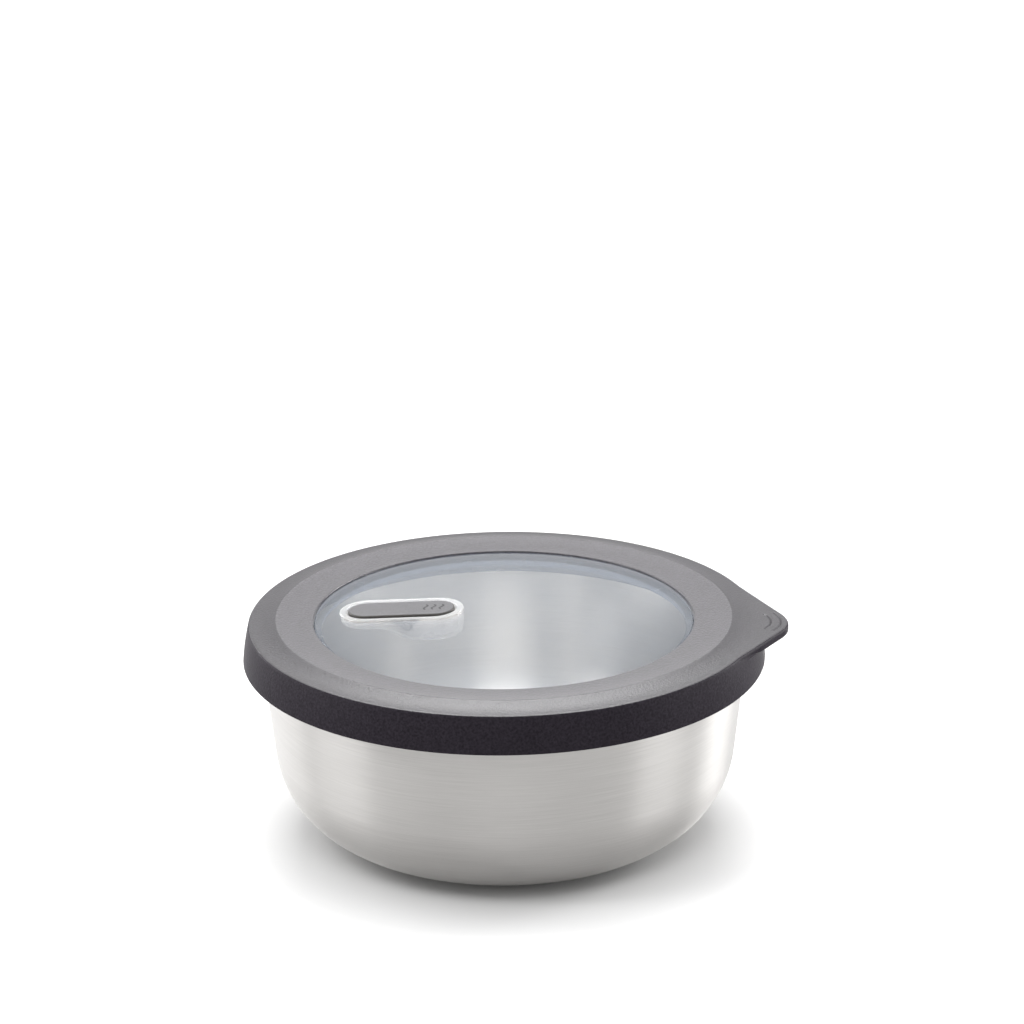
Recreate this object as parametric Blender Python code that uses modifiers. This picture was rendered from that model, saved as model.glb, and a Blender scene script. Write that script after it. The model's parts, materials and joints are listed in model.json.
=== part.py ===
"""Round steel food storage container with a press-on window lid and a rocker vent.

Metres, +Z up. The origin lies on the bowl's axis, on the surface it stands on.
The lid's pull tab points to +X, and the vent lies opposite it, towards -X.
"""

import math

import bmesh
import bpy

MM = 0.001

# Gap left between pieces that touch on the real object
CLEARANCE = 0.3 * MM

# Bowl
BASE_RADIUS = 38.4 * MM  # flat that the bowl stands on
CORNER_RADIUS = 28.8 * MM  # outside radius between base and wall
WALL_LEAN = math.radians(6.4)  # the wall opens upwards
SHEET = 0.7 * MM
RIM_HEIGHT = 58.6 * MM  # top of the rolled rim
BEAD_RADIUS = 1.2 * MM  # the rolled rim's own round section

# Seal between the lid and the rim
SEAL_THICKNESS = 1.4 * MM
LIP_DEPTH = 2.2 * MM  # how far the lip reaches below the top of the rim
LIP_WIDTH = 3.5 * MM
LIP_CLEARANCE = 0.4 * MM  # between the lip and the bowl's inner wall

# Lid plate: window, step, flange and locating rib
FLANGE_THICKNESS = 1.8 * MM
RIB_DEPTH = 5.6 * MM  # below the flange, into the bowl's mouth
RIB_WIDTH = 2.5 * MM
STEP_WALL = 1.9 * MM
PANE_THICKNESS = 1.8 * MM
PANE_RECESS = 0.45 * MM  # the pane's edge lies this far below the ring's inner edge
PANE_CHAMFER = 0.2 * MM
DOME_RISE = 2.55 * MM

# Soft ring round the lid plate
SKIRT_HEIGHT = 10.95 * MM
SKIRT_WALL = 2.0 * MM
SKIRT_FLARE = 1.8 * MM  # the skirt is this much wider in radius at its bottom than at its top
RING_WIDTH = 18.8 * MM  # from the window opening to the top outer edge
RING_INNER_THICKNESS = 1.95 * MM
RING_SHOULDER = 4.4 * MM  # ring material outside the flange
RIDGE_SETBACK = 7.9 * MM  # from the outer edge in to the ridge
RIDGE_RISE = 1.05 * MM  # of the ridge above the ring's inner edge
EDGE_DROP = 1.5 * MM  # of the outer edge below the ridge
DISH_DEPTH = 0.25 * MM  # hollow of the zone between ridge and edge
EDGE_ROUND = 0.5 * MM
SNAP_ROOM = 1.1 * MM  # between the snap bead and the skirt's bottom inner edge
SNAP_CLEARANCE = 0.35 * MM  # between the snap bead and the rim, so that the lid lifts freely
SNAP_RISE = 1.9 * MM  # of the snap bead above the skirt's bottom
SNAP_WIDTH = 0.6 * MM

# Pull tab
TAB_LENGTH = 8.4 * MM  # beyond the ring's outer edge
TAB_TIP_RADIUS = 14.0 * MM
TAB_THICKNESS = 2.6 * MM
TAB_STEP = 0.15 * MM  # of the tab's top below the ring's outer edge
TAB_ROOT = 0.3 * MM  # how deep the tab's flanks run into the ring
TAB_BURIED = 1.5 * MM  # how deep the tab's root sits inside the ring
TAB_ROUND = 0.5 * MM
GROOVE_INSETS = (2.2 * MM, 5.1 * MM)  # from the tab's tip
GROOVE_RADIUS = 0.35 * MM
GROOVE_REACH = math.radians(38)  # each side of the tab's middle

# Vent trough, a stadium-shaped pocket in the window
VENT_EDGE_GAP = 7.1 * MM  # from the window's edge to the trough
TROUGH_END_WALL = 1.9 * MM
TROUGH_SIDE_WALL = 1.45 * MM
TROUGH_FLOOR = 0.7 * MM
COLLAR_HEIGHT = 0.8 * MM  # of the trough's rim above the pane
SHALLOW_DEPTH = 3.3 * MM  # from the collar's top to the trough's underside, outer end
DEEP_DEPTH = 7.2 * MM  # the same at the inner end
RAMP_BEFORE_PIVOT = 8.1 * MM
RAMP_AFTER_PIVOT = 2.4 * MM
VENT_HOLE_RADIUS = 1.5 * MM

# Vent rocker
BUTTON_LENGTH = 31.0 * MM
BUTTON_WIDTH = 10.8 * MM
BUTTON_THICKNESS = 1.3 * MM
BUTTON_PROUD = 0.25 * MM  # above the collar
BUTTON_END_GAP = 0.65 * MM  # to the trough's ends, leaves room for the tilting ends
BUTTON_SIDE_GAP = 1.4 * MM  # to the trough's long sides, lets the steam out
BUTTON_ROUND = 0.4 * MM
KEEL_INSET = 0.4 * MM  # from the button's outline
KEEL_DEPTH = 3.8 * MM
KEEL_OUTER = 6.1 * MM  # from the pivot to the keel's end towards the plug
KEEL_INNER = 4.0 * MM
KEEL_NOSE_RADIUS = 0.8 * MM
PIVOT_DROP = 1.9 * MM  # of the pin below the button's underside
HUB_WALL = 0.5 * MM  # round the pin, in the hub that centres the rocker between the walls
PIN_DIAMETER = 1.6 * MM
PIN_SEAT = 0.7 * MM  # how far the pin reaches into each trough wall

# Vent plug
PLUG_INSET = 6.0 * MM  # from the button's outer end
PLUG_TO_PIVOT = 11.6 * MM
PLUG_RADIUS = 3.5 * MM
PLUG_STEM_RADIUS = 1.2 * MM
PLUG_STEM_LENGTH = 0.6 * MM
PLUG_CHAMFER = 0.25 * MM

# Facets
AROUND = 60  # steps of a large turned piece
AROUND_SMALL = 24  # steps of a small turned piece
ROUND_END = 12  # segments of a half circle
CORNER_STEPS = 9  # segments of the bowl's corner
ROLL_STEPS = 11  # segments of the rolled rim
DISH_STEPS = 5  # segments of the ring's hollow zone
EDGE_STEPS = 3  # segments of the ring's rounded edge
PANE_RINGS = 7  # rings of facets on the domed pane
RAMP_STEPS = 8  # segments of the trough's ramp
GROOVE_STEPS = 10  # segments of a grip groove
NOSE_STEPS = 6  # segments of the keel's nose
BEVEL_STEPS = 2  # segments of a rounded plate edge
CUT_OVERRUN = 1.0 * MM  # how far a cutter runs past what it cuts
WELD_DISTANCE = 0.01 * MM
FLAT_ANGLE = math.radians(0.05)  # faces that meet flatter than this are one face
SHARP_ANGLE = math.radians(50)  # edges sharper than this are rounded

UPRIGHT = (math.pi / 2, 0, 0)  # turns a piece that is made along z to lie along y

PART_NAME = "food_storage_container"


# Bowl heights and radii


def wall_outer(height):
    """Radius of the bowl's outer wall at a height."""
    tangent_radius = BASE_RADIUS + CORNER_RADIUS * math.cos(WALL_LEAN)
    tangent_height = CORNER_RADIUS * (1 - math.sin(WALL_LEAN))
    return tangent_radius + (height - tangent_height) * math.tan(WALL_LEAN)


def wall_inner(height):
    """Radius of the bowl's inner wall at a height."""
    return wall_outer(height) - SHEET / math.cos(WALL_LEAN)


BEAD_HEIGHT = RIM_HEIGHT - BEAD_RADIUS
BEAD_CENTRE = wall_inner(BEAD_HEIGHT) + BEAD_RADIUS / math.cos(WALL_LEAN)
RIM_RADIUS = BEAD_CENTRE + BEAD_RADIUS

# Lid heights, stacked up from the rim
SEAL_BOTTOM = RIM_HEIGHT + CLEARANCE
SEAL_TOP = SEAL_BOTTOM + SEAL_THICKNESS
FLANGE_BOTTOM = SEAL_TOP + CLEARANCE
FLANGE_TOP = FLANGE_BOTTOM + FLANGE_THICKNESS
RING_UNDERSIDE = FLANGE_TOP + CLEARANCE
RING_INNER_TOP = RING_UNDERSIDE + RING_INNER_THICKNESS
RIDGE_HEIGHT = RING_INNER_TOP + RIDGE_RISE
EDGE_HEIGHT = RIDGE_HEIGHT - EDGE_DROP
SKIRT_BOTTOM = EDGE_HEIGHT - SKIRT_HEIGHT
PANE_EDGE_HEIGHT = RING_INNER_TOP - PANE_RECESS
DOME_TOP = PANE_EDGE_HEIGHT + DOME_RISE

# Lid radii, stacked out from the rim and then in from the ring's edge
SNAP_RADIUS = RIM_RADIUS + SNAP_CLEARANCE
LID_RADIUS = SNAP_RADIUS + SNAP_ROOM + SKIRT_WALL
EDGE_RADIUS = LID_RADIUS - SKIRT_FLARE
RIDGE_RADIUS = EDGE_RADIUS - RIDGE_SETBACK
OPENING_RADIUS = EDGE_RADIUS - RING_WIDTH
WINDOW_RADIUS = OPENING_RADIUS - CLEARANCE
STEP_INNER = WINDOW_RADIUS - STEP_WALL
FLANGE_RADIUS = EDGE_RADIUS - RING_SHOULDER
LIP_BOTTOM = RIM_HEIGHT - LIP_DEPTH
LIP_OUTER = wall_inner(LIP_BOTTOM) - LIP_CLEARANCE
LIP_INNER = LIP_OUTER - LIP_WIDTH
RIB_OUTER = LIP_INNER - CLEARANCE
RIB_INNER = RIB_OUTER - RIB_WIDTH
DOME_RADIUS = (WINDOW_RADIUS**2 + DOME_RISE**2) / (2 * DOME_RISE)

# Vent, in its own frame: x inwards along the window, z square to the pane
TROUGH_INNER_LENGTH = BUTTON_LENGTH + 2 * BUTTON_END_GAP
TROUGH_INNER_WIDTH = BUTTON_WIDTH + 2 * BUTTON_SIDE_GAP
TROUGH_LENGTH = TROUGH_INNER_LENGTH + 2 * TROUGH_END_WALL
TROUGH_WIDTH = TROUGH_INNER_WIDTH + 2 * TROUGH_SIDE_WALL
VENT_DISTANCE = WINDOW_RADIUS - VENT_EDGE_GAP - TROUGH_LENGTH / 2
VENT_TILT = math.asin(VENT_DISTANCE / DOME_RADIUS)
BUTTON_TOP = COLLAR_HEIGHT + BUTTON_PROUD
BUTTON_UNDERSIDE = BUTTON_TOP - BUTTON_THICKNESS
PLUG_X = PLUG_INSET - BUTTON_LENGTH / 2
PIVOT_X = PLUG_X + PLUG_TO_PIVOT
PIVOT_Z = BUTTON_UNDERSIDE - PIVOT_DROP
PIN_BORE_RADIUS = PIN_DIAMETER / 2 + CLEARANCE
PIN_LENGTH = TROUGH_INNER_WIDTH + 2 * PIN_SEAT
SHALLOW_FLOOR = COLLAR_HEIGHT - SHALLOW_DEPTH + TROUGH_FLOOR


def skirt_outer(height):
    """Radius of the flared skirt's outer face at a height."""
    share = (EDGE_HEIGHT - height) / SKIRT_HEIGHT
    return EDGE_RADIUS + SKIRT_FLARE * share


def skirt_inner(height):
    """Radius of the skirt's inner face at a height."""
    return skirt_outer(height) - SKIRT_WALL


def dome_height(radius):
    """Height of the pane's top face at a radius."""
    return DOME_TOP - DOME_RADIUS + math.sqrt(DOME_RADIUS**2 - radius**2)


def trough_depth(x):
    """Depth of the trough's underside below the collar's top: shallow, smooth ramp, deep."""
    start = PIVOT_X - RAMP_BEFORE_PIVOT
    share = (x - start) / (RAMP_BEFORE_PIVOT + RAMP_AFTER_PIVOT)
    share = min(max(share, 0.0), 1.0)
    return SHALLOW_DEPTH + (DEEP_DEPTH - SHALLOW_DEPTH) * share * share * (3 - 2 * share)


# Outlines


def arc(centre, radius, start, end, segments):
    """Points of an arc from one angle to another, in radians, both ends included."""
    turns = [start + (end - start) * step / segments for step in range(segments + 1)]
    return [(centre[0] + radius * math.cos(t), centre[1] + radius * math.sin(t)) for t in turns]


def bend(first, control, last, segments):
    """Points of a quadratic curve, both ends included."""
    points = []
    for step in range(segments + 1):
        t = step / segments
        x, y = (
            (1 - t) ** 2 * start + 2 * t * (1 - t) * pull + t**2 * end
            for start, pull, end in zip(first, control, last)
        )
        points.append((x, y))
    return points


def stadium(length, width):
    """Closed outline with two straight sides along x and two round ends."""
    radius = width / 2
    reach = length / 2 - radius
    right = arc((reach, 0), radius, -math.pi / 2, math.pi / 2, ROUND_END)
    left = arc((-reach, 0), radius, math.pi / 2, 3 * math.pi / 2, ROUND_END)
    return right + left


# Building blocks


def clear_scene():
    """Remove every object, so that the script starts from nothing."""
    for old in list(bpy.data.objects):
        bpy.data.objects.remove(old)


def new_collection(name):
    """A new collection in the scene."""
    made = bpy.data.collections.new(name)
    bpy.context.scene.collection.children.link(made)
    return made


def surface(name, colour, roughness, metallic=0.0, transmission=0.0):
    """A plain material with one colour."""
    made = bpy.data.materials.new(name)
    made.use_nodes = True
    shader = made.node_tree.nodes["Principled BSDF"]
    shader.inputs["Base Color"].default_value = (*colour, 1.0)
    shader.inputs["Roughness"].default_value = roughness
    shader.inputs["Metallic"].default_value = metallic
    shader.inputs["Transmission Weight"].default_value = transmission
    made.diffuse_color = (*colour, 1.0)
    return made


def frame_empty(name, location, tilt, parent, collection):
    """An empty that carries other objects, turned about y."""
    made = bpy.data.objects.new(name, None)
    made.location = location
    made.rotation_euler = (0.0, tilt, 0.0)
    made.parent = parent
    collection.objects.link(made)
    return made


def add_object(name, mesh, collection, parent=None, location=(0, 0, 0), rotation=(0, 0, 0)):
    """An object for a mesh, placed in its parent's frame."""
    made = bpy.data.objects.new(name, mesh)
    made.parent = parent
    made.location = location
    made.rotation_euler = rotation
    collection.objects.link(made)
    return made


def turned(name, profile, closed, steps, collection, **place):
    """A turned solid: a profile of (radius, height) points swept round z."""
    count = len(profile)
    edges = [(i, i + 1) for i in range(count - 1)]
    if closed:
        edges.append((count - 1, 0))
    mesh = bpy.data.meshes.new(name)
    mesh.from_pydata([(radius, 0.0, height) for radius, height in profile], edges, [])
    made = add_object(name, mesh, collection, **place)
    screw = made.modifiers.new("turn", "SCREW")
    screw.steps = steps
    screw.render_steps = steps
    screw.use_merge_vertices = True
    screw.merge_threshold = WELD_DISTANCE
    screw.use_smooth_shade = True
    return made


def curve_to_mesh(name, curve):
    """The closed mesh of a curve, with its caps welded on and each flat cap one face."""
    holder = bpy.data.objects.new(name + "_curve", curve)
    bpy.context.scene.collection.objects.link(holder)
    depsgraph = bpy.context.evaluated_depsgraph_get()
    mesh = bpy.data.meshes.new_from_object(holder.evaluated_get(depsgraph))
    bpy.data.objects.remove(holder)
    shape = bmesh.new()
    shape.from_mesh(mesh)
    bmesh.ops.remove_doubles(shape, verts=shape.verts, dist=WELD_DISTANCE)
    bmesh.ops.dissolve_limit(shape, angle_limit=FLAT_ANGLE, verts=shape.verts, edges=shape.edges)
    bmesh.ops.recalc_face_normals(shape, faces=shape.faces)
    shape.to_mesh(mesh)
    shape.free()
    mesh.name = name
    return mesh


def poly_curve(name, points, cyclic, dimensions):
    """A curve of straight segments through (x, y) points in the plane z = 0."""
    curve = bpy.data.curves.new(name, "CURVE")
    curve.dimensions = dimensions
    spline = curve.splines.new("POLY")
    spline.points.add(len(points) - 1)
    for point, (x, y) in zip(spline.points, points):
        point.co = (x, y, 0.0, 1.0)
    spline.use_cyclic_u = cyclic
    return curve


def slab(name, outline, thickness, collection, **place):
    """A flat plate with a closed outline, centred on its own mid plane."""
    curve = poly_curve(name, outline, True, "2D")
    curve.fill_mode = "BOTH"
    curve.extrude = thickness / 2
    return add_object(name, curve_to_mesh(name, curve), collection, **place)


def groove_rod(name, points, radius, collection, **place):
    """A thin round rod along a line of points."""
    curve = poly_curve(name, points, False, "3D")
    curve.bevel_depth = radius
    curve.bevel_resolution = 1
    curve.use_fill_caps = True
    return add_object(name, curve_to_mesh(name, curve), collection, **place)


def cylinder(name, radius, length, collection, **place):
    """A solid cylinder along z, centred on its own middle."""
    mesh = bpy.data.meshes.new(name)
    shape = bmesh.new()
    bmesh.ops.create_cone(
        shape, cap_ends=True, segments=AROUND_SMALL, radius1=radius, radius2=radius, depth=length
    )
    shape.to_mesh(mesh)
    shape.free()
    return add_object(name, mesh, collection, **place)


def as_guide(thing):
    """Mark a cutter or a shape that is joined on: not a piece by itself."""
    thing.hide_render = True
    thing.display_type = "WIRE"
    return thing


def combine(target, operation, tool):
    """Join another shape to a piece, or cut it out of the piece."""
    modifier = target.modifiers.new(operation.lower() + "_" + tool.name, "BOOLEAN")
    modifier.operation = operation
    modifier.object = as_guide(tool)
    modifier.solver = "EXACT"


def round_edges(target, width):
    """Round the sharp edges of a plate."""
    bevel = target.modifiers.new("round", "BEVEL")
    bevel.width = width
    bevel.segments = BEVEL_STEPS
    bevel.limit_method = "ANGLE"
    bevel.angle_limit = SHARP_ANGLE


# Pieces


def make_bowl(pieces):
    """Deep-drawn bowl with a flat base, leaning wall and rolled rim."""
    corner = (BASE_RADIUS, CORNER_RADIUS)
    down = -math.pi / 2
    roll_start = math.pi - WALL_LEAN
    roll_end = roll_start + math.acos(1 - SHEET / BEAD_RADIUS) - 2 * math.pi
    profile = [(0.0, SHEET)]
    profile += arc(corner, CORNER_RADIUS - SHEET, down, -WALL_LEAN, CORNER_STEPS)
    bead = (BEAD_CENTRE, BEAD_HEIGHT)
    profile += arc(bead, BEAD_RADIUS, roll_start, roll_end, ROLL_STEPS)
    profile += arc(corner, CORNER_RADIUS, -WALL_LEAN, down, CORNER_STEPS)
    profile.append((0.0, 0.0))
    bowl = turned("bowl", profile, False, AROUND, pieces)
    bowl.data.materials.append(surface("brushed_steel", (0.60, 0.59, 0.58), 0.32, metallic=1.0))


def make_seal(pieces, lid):
    """Flat ring between flange and rim, with a lip that hangs into the mouth."""
    outer = skirt_inner(SEAL_TOP) - CLEARANCE
    profile = [
        (LIP_INNER, SEAL_TOP),
        (outer, SEAL_TOP),
        (outer, SEAL_BOTTOM),
        (LIP_OUTER, SEAL_BOTTOM),
        (LIP_OUTER, LIP_BOTTOM),
        (LIP_INNER, LIP_BOTTOM),
    ]
    seal = turned("rim_seal", profile, True, AROUND, pieces, parent=lid)
    seal.data.materials.append(surface("seal_silicone", (0.78, 0.78, 0.77), 0.55))


def trough_body(name, length, width, raise_by, top, guides, vent):
    """Stadium-shaped block with the trough's stepped underside, raised by a floor thickness."""
    bottom = COLLAR_HEIGHT - DEEP_DEPTH + raise_by
    middle = (0, 0, (top + bottom) / 2)
    body = slab(name, stadium(length, width), top - bottom, guides, parent=vent, location=middle)
    half = length / 2 + CUT_OVERRUN
    ramp_start = PIVOT_X - RAMP_BEFORE_PIVOT
    ramp_length = RAMP_BEFORE_PIVOT + RAMP_AFTER_PIVOT
    ramp = [ramp_start + ramp_length * step / RAMP_STEPS for step in range(RAMP_STEPS)]
    stations = [-half] + ramp
    under = [(x, COLLAR_HEIGHT - trough_depth(x) + raise_by) for x in stations]
    foot = bottom - CUT_OVERRUN
    outline = [(-half, foot), (ramp_start + ramp_length, foot), (ramp_start + ramp_length, bottom)]
    cut = slab(
        name + "_underside",
        outline + under[::-1],
        width + 2 * CUT_OVERRUN,
        guides,
        parent=vent,
        rotation=UPRIGHT,
    )
    combine(body, "DIFFERENCE", cut)
    return body


def make_window(pieces, guides, lid, vent):
    """Lid plate: domed pane, step, flange, locating rib and the vent's trough."""
    rings = [WINDOW_RADIUS * step / PANE_RINGS for step in range(PANE_RINGS)]
    chamfer_radius = WINDOW_RADIUS - PANE_CHAMFER
    profile = [(radius, dome_height(radius)) for radius in rings]
    profile += [
        (chamfer_radius, dome_height(chamfer_radius)),
        (WINDOW_RADIUS, PANE_EDGE_HEIGHT - PANE_CHAMFER),
        (WINDOW_RADIUS, FLANGE_TOP),
        (FLANGE_RADIUS, FLANGE_TOP),
        (FLANGE_RADIUS, FLANGE_BOTTOM),
        (RIB_OUTER, FLANGE_BOTTOM),
        (RIB_OUTER, FLANGE_BOTTOM - RIB_DEPTH),
        (RIB_INNER, FLANGE_BOTTOM - RIB_DEPTH),
        (RIB_INNER, FLANGE_BOTTOM),
        (STEP_INNER, FLANGE_BOTTOM),
        (STEP_INNER, dome_height(STEP_INNER) - PANE_THICKNESS),
    ]
    inner_rings = [radius for radius in rings if radius < STEP_INNER]
    profile += [(radius, dome_height(radius) - PANE_THICKNESS) for radius in inner_rings[::-1]]
    window = turned("lid_window", profile, False, AROUND, pieces, parent=lid)
    window.data.materials.append(
        surface("clear_plastic", (0.86, 0.89, 0.92), 0.18, transmission=0.85)
    )

    block = trough_body(
        "trough_block", TROUGH_LENGTH, TROUGH_WIDTH, 0.0, COLLAR_HEIGHT, guides, vent
    )
    pocket = trough_body(
        "trough_pocket",
        TROUGH_INNER_LENGTH,
        TROUGH_INNER_WIDTH,
        TROUGH_FLOOR,
        COLLAR_HEIGHT + CUT_OVERRUN,
        guides,
        vent,
    )
    hole = cylinder(
        "vent_hole",
        VENT_HOLE_RADIUS,
        2 * TROUGH_FLOOR + 2 * CUT_OVERRUN,
        guides,
        parent=vent,
        location=(PLUG_X, 0, SHALLOW_FLOOR - TROUGH_FLOOR),
    )
    socket = cylinder(
        "pin_sockets",
        PIN_BORE_RADIUS,
        PIN_LENGTH + 2 * CLEARANCE,
        guides,
        parent=vent,
        location=(PIVOT_X, 0, PIVOT_Z),
        rotation=UPRIGHT,
    )
    combine(window, "UNION", block)
    for tool in (pocket, hole, socket):
        combine(window, "DIFFERENCE", tool)


def ring_profile():
    """Section of the soft ring, from its inner edge over the ridge and down the skirt."""
    edge_start = (EDGE_RADIUS - EDGE_ROUND, EDGE_HEIGHT)
    ridge = (RIDGE_RADIUS, RIDGE_HEIGHT)
    sag = ((ridge[0] + edge_start[0]) / 2, (ridge[1] + edge_start[1]) / 2 - 2 * DISH_DEPTH)
    edge_centre = (edge_start[0], EDGE_HEIGHT - EDGE_ROUND)
    snap_height = SKIRT_BOTTOM + SNAP_RISE
    recess = FLANGE_RADIUS + CLEARANCE
    profile = [(OPENING_RADIUS, RING_INNER_TOP)]
    profile += bend(ridge, sag, edge_start, DISH_STEPS)[:-1]
    profile += arc(edge_centre, EDGE_ROUND, math.pi / 2, 0.0, EDGE_STEPS)
    profile += [
        (LID_RADIUS, SKIRT_BOTTOM),
        (LID_RADIUS - SKIRT_WALL, SKIRT_BOTTOM),
        (skirt_inner(snap_height - SNAP_WIDTH), snap_height - SNAP_WIDTH),
        (SNAP_RADIUS, snap_height - SNAP_WIDTH / 2),
        (SNAP_RADIUS, snap_height + SNAP_WIDTH / 2),
        (skirt_inner(snap_height + SNAP_WIDTH), snap_height + SNAP_WIDTH),
        (skirt_inner(FLANGE_BOTTOM), FLANGE_BOTTOM),
        (recess, FLANGE_BOTTOM),
        (recess, RING_UNDERSIDE),
        (OPENING_RADIUS, RING_UNDERSIDE),
    ]
    return profile


def tab_outline(tip_centre):
    """Tip arc with straight flanks that run tangent into the ring's edge."""
    root = EDGE_RADIUS - TAB_ROOT
    flank = math.acos((root - TAB_TIP_RADIUS) / tip_centre)
    tip = arc((tip_centre, 0.0), TAB_TIP_RADIUS, -flank, flank, ROUND_END)
    sides = [arc((0.0, 0.0), root, turn, turn, 1)[0] for turn in (flank, -flank)]
    buried = arc((0.0, 0.0), EDGE_RADIUS - TAB_BURIED, flank, -flank, ROUND_END)
    return tip + [sides[0]] + buried + [sides[1]]


def make_ring(pieces, guides, lid):
    """Soft ring with its skirt, snap bead and pull tab with two grip grooves."""
    ring = turned("lid_ring", ring_profile(), True, AROUND, pieces, parent=lid)
    ring.data.materials.append(surface("soft_grey", (0.105, 0.102, 0.108), 0.62))
    tab_top = EDGE_HEIGHT - TAB_STEP
    tip_centre = EDGE_RADIUS + TAB_LENGTH - TAB_TIP_RADIUS
    tab = slab(
        "pull_tab",
        tab_outline(tip_centre),
        TAB_THICKNESS,
        guides,
        parent=lid,
        location=(0, 0, tab_top - TAB_THICKNESS / 2),
    )
    round_edges(tab, TAB_ROUND)
    combine(ring, "UNION", tab)
    for number, inset in enumerate(GROOVE_INSETS):
        radius = TAB_TIP_RADIUS - inset
        line = arc((tip_centre, 0), radius, -GROOVE_REACH, GROOVE_REACH, GROOVE_STEPS)
        groove = groove_rod(
            f"tab_groove_{number + 1}",
            line,
            GROOVE_RADIUS,
            guides,
            parent=lid,
            location=(0, 0, tab_top),
        )
        combine(ring, "DIFFERENCE", groove)


def keel_outline():
    """V with a rounded nose below the pivot, its top run into the button."""
    shoulder = BUTTON_UNDERSIDE - PIVOT_Z
    top = shoulder + BUTTON_THICKNESS / 2
    rise = KEEL_DEPTH - KEEL_NOSE_RADIUS

    def touch(reach):
        """Angle at which a flank from the button's underside touches the nose."""
        return math.atan2(rise, reach) - math.acos(KEEL_NOSE_RADIUS / math.hypot(reach, rise))

    start = -math.pi - touch(KEEL_OUTER)
    nose = arc((0.0, shoulder - rise), KEEL_NOSE_RADIUS, start, touch(KEEL_INNER), NOSE_STEPS)
    inner_side = [(KEEL_INNER, shoulder), (KEEL_INNER, top)]
    outer_side = [(-KEEL_OUTER, top), (-KEEL_OUTER, shoulder)]
    return nose + inner_side + outer_side


def make_rocker(pieces, guides, pivot):
    """Rocker button with its keel, hub, pin bore and the socket for the plug's stem."""
    middle = -PIVOT_X
    rocker = slab(
        "vent_rocker",
        stadium(BUTTON_LENGTH, BUTTON_WIDTH),
        BUTTON_THICKNESS,
        pieces,
        parent=pivot,
        location=(middle, 0, BUTTON_TOP - BUTTON_THICKNESS / 2 - PIVOT_Z),
    )
    rocker.data.materials.append(surface("rocker_grey", (0.30, 0.30, 0.31), 0.5))
    round_edges(rocker, BUTTON_ROUND)
    keel = slab(
        "rocker_keel", keel_outline(), BUTTON_WIDTH, guides, parent=pivot, rotation=UPRIGHT
    )
    keel_plan = slab(
        "rocker_keel_plan",
        stadium(BUTTON_LENGTH - 2 * KEEL_INSET, BUTTON_WIDTH - 2 * KEEL_INSET),
        2 * (KEEL_DEPTH + BUTTON_THICKNESS),
        guides,
        parent=pivot,
        location=(middle, 0, 0),
    )
    combine(keel, "INTERSECT", keel_plan)
    hub_length = TROUGH_INNER_WIDTH - 2 * CLEARANCE
    hub = cylinder(
        "rocker_hub",
        PIN_BORE_RADIUS + HUB_WALL,
        hub_length,
        guides,
        parent=pivot,
        rotation=UPRIGHT,
    )
    bore = cylinder(
        "rocker_bore",
        PIN_BORE_RADIUS,
        hub_length + 2 * CUT_OVERRUN,
        guides,
        parent=pivot,
        rotation=UPRIGHT,
    )
    hole_depth = PLUG_STEM_LENGTH + CLEARANCE
    hole_top = BUTTON_UNDERSIDE + hole_depth - PIVOT_Z
    hole_length = hole_depth + CUT_OVERRUN
    stem_hole = cylinder(
        "plug_hole",
        PLUG_STEM_RADIUS + CLEARANCE,
        hole_length,
        guides,
        parent=pivot,
        location=(-PLUG_TO_PIVOT, 0, hole_top - hole_length / 2),
    )
    combine(rocker, "UNION", keel)
    combine(rocker, "UNION", hub)
    combine(rocker, "DIFFERENCE", bore)
    combine(rocker, "DIFFERENCE", stem_hole)


def make_plug(pieces, pivot):
    """Mushroom-shaped silicone plug whose head closes the vent hole."""
    bottom = SHALLOW_FLOOR + CLEARANCE - PIVOT_Z
    head_top = BUTTON_UNDERSIDE - CLEARANCE - PIVOT_Z
    stem_top = BUTTON_UNDERSIDE + PLUG_STEM_LENGTH - PIVOT_Z
    profile = [
        (0.0, stem_top),
        (PLUG_STEM_RADIUS, stem_top),
        (PLUG_STEM_RADIUS, head_top),
        (PLUG_RADIUS - PLUG_CHAMFER, head_top),
        (PLUG_RADIUS, head_top - PLUG_CHAMFER),
        (PLUG_RADIUS, bottom + PLUG_CHAMFER),
        (PLUG_RADIUS - PLUG_CHAMFER, bottom),
        (0.0, bottom),
    ]
    plug = turned(
        "vent_plug",
        profile,
        False,
        AROUND_SMALL,
        pieces,
        parent=pivot,
        location=(-PLUG_TO_PIVOT, 0, 0),
    )
    plug.data.materials.append(surface("plug_silicone", (0.80, 0.80, 0.79), 0.5))


def make_pin(pieces, pivot):
    """Pin across the trough that the rocker turns on."""
    pin = cylinder(
        "vent_pivot_pin",
        PIN_DIAMETER / 2,
        PIN_LENGTH,
        pieces,
        parent=pivot,
        rotation=UPRIGHT,
    )
    pin.data.materials.append(surface("pin_steel", (0.56, 0.56, 0.57), 0.25, metallic=1.0))


def main():
    clear_scene()
    pieces = new_collection(PART_NAME)
    guides = new_collection(PART_NAME + "_guides")
    lid = frame_empty("lid_frame", (0, 0, 0), 0.0, None, pieces)
    vent_place = (-VENT_DISTANCE, 0, dome_height(VENT_DISTANCE))
    vent = frame_empty("vent_frame", vent_place, -VENT_TILT, lid, pieces)
    pivot = frame_empty("vent_pivot_frame", (PIVOT_X, 0, PIVOT_Z), 0.0, vent, pieces)
    make_bowl(pieces)
    make_seal(pieces, lid)
    make_window(pieces, guides, lid, vent)
    make_ring(pieces, guides, lid)
    make_rocker(pieces, guides, pivot)
    make_plug(pieces, pivot)
    make_pin(pieces, pivot)
    bpy.context.view_layer.update()
    place = pivot.matrix_world.translation
    print("vent pivot at", [round(value, 6) for value in place])


main()
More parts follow.
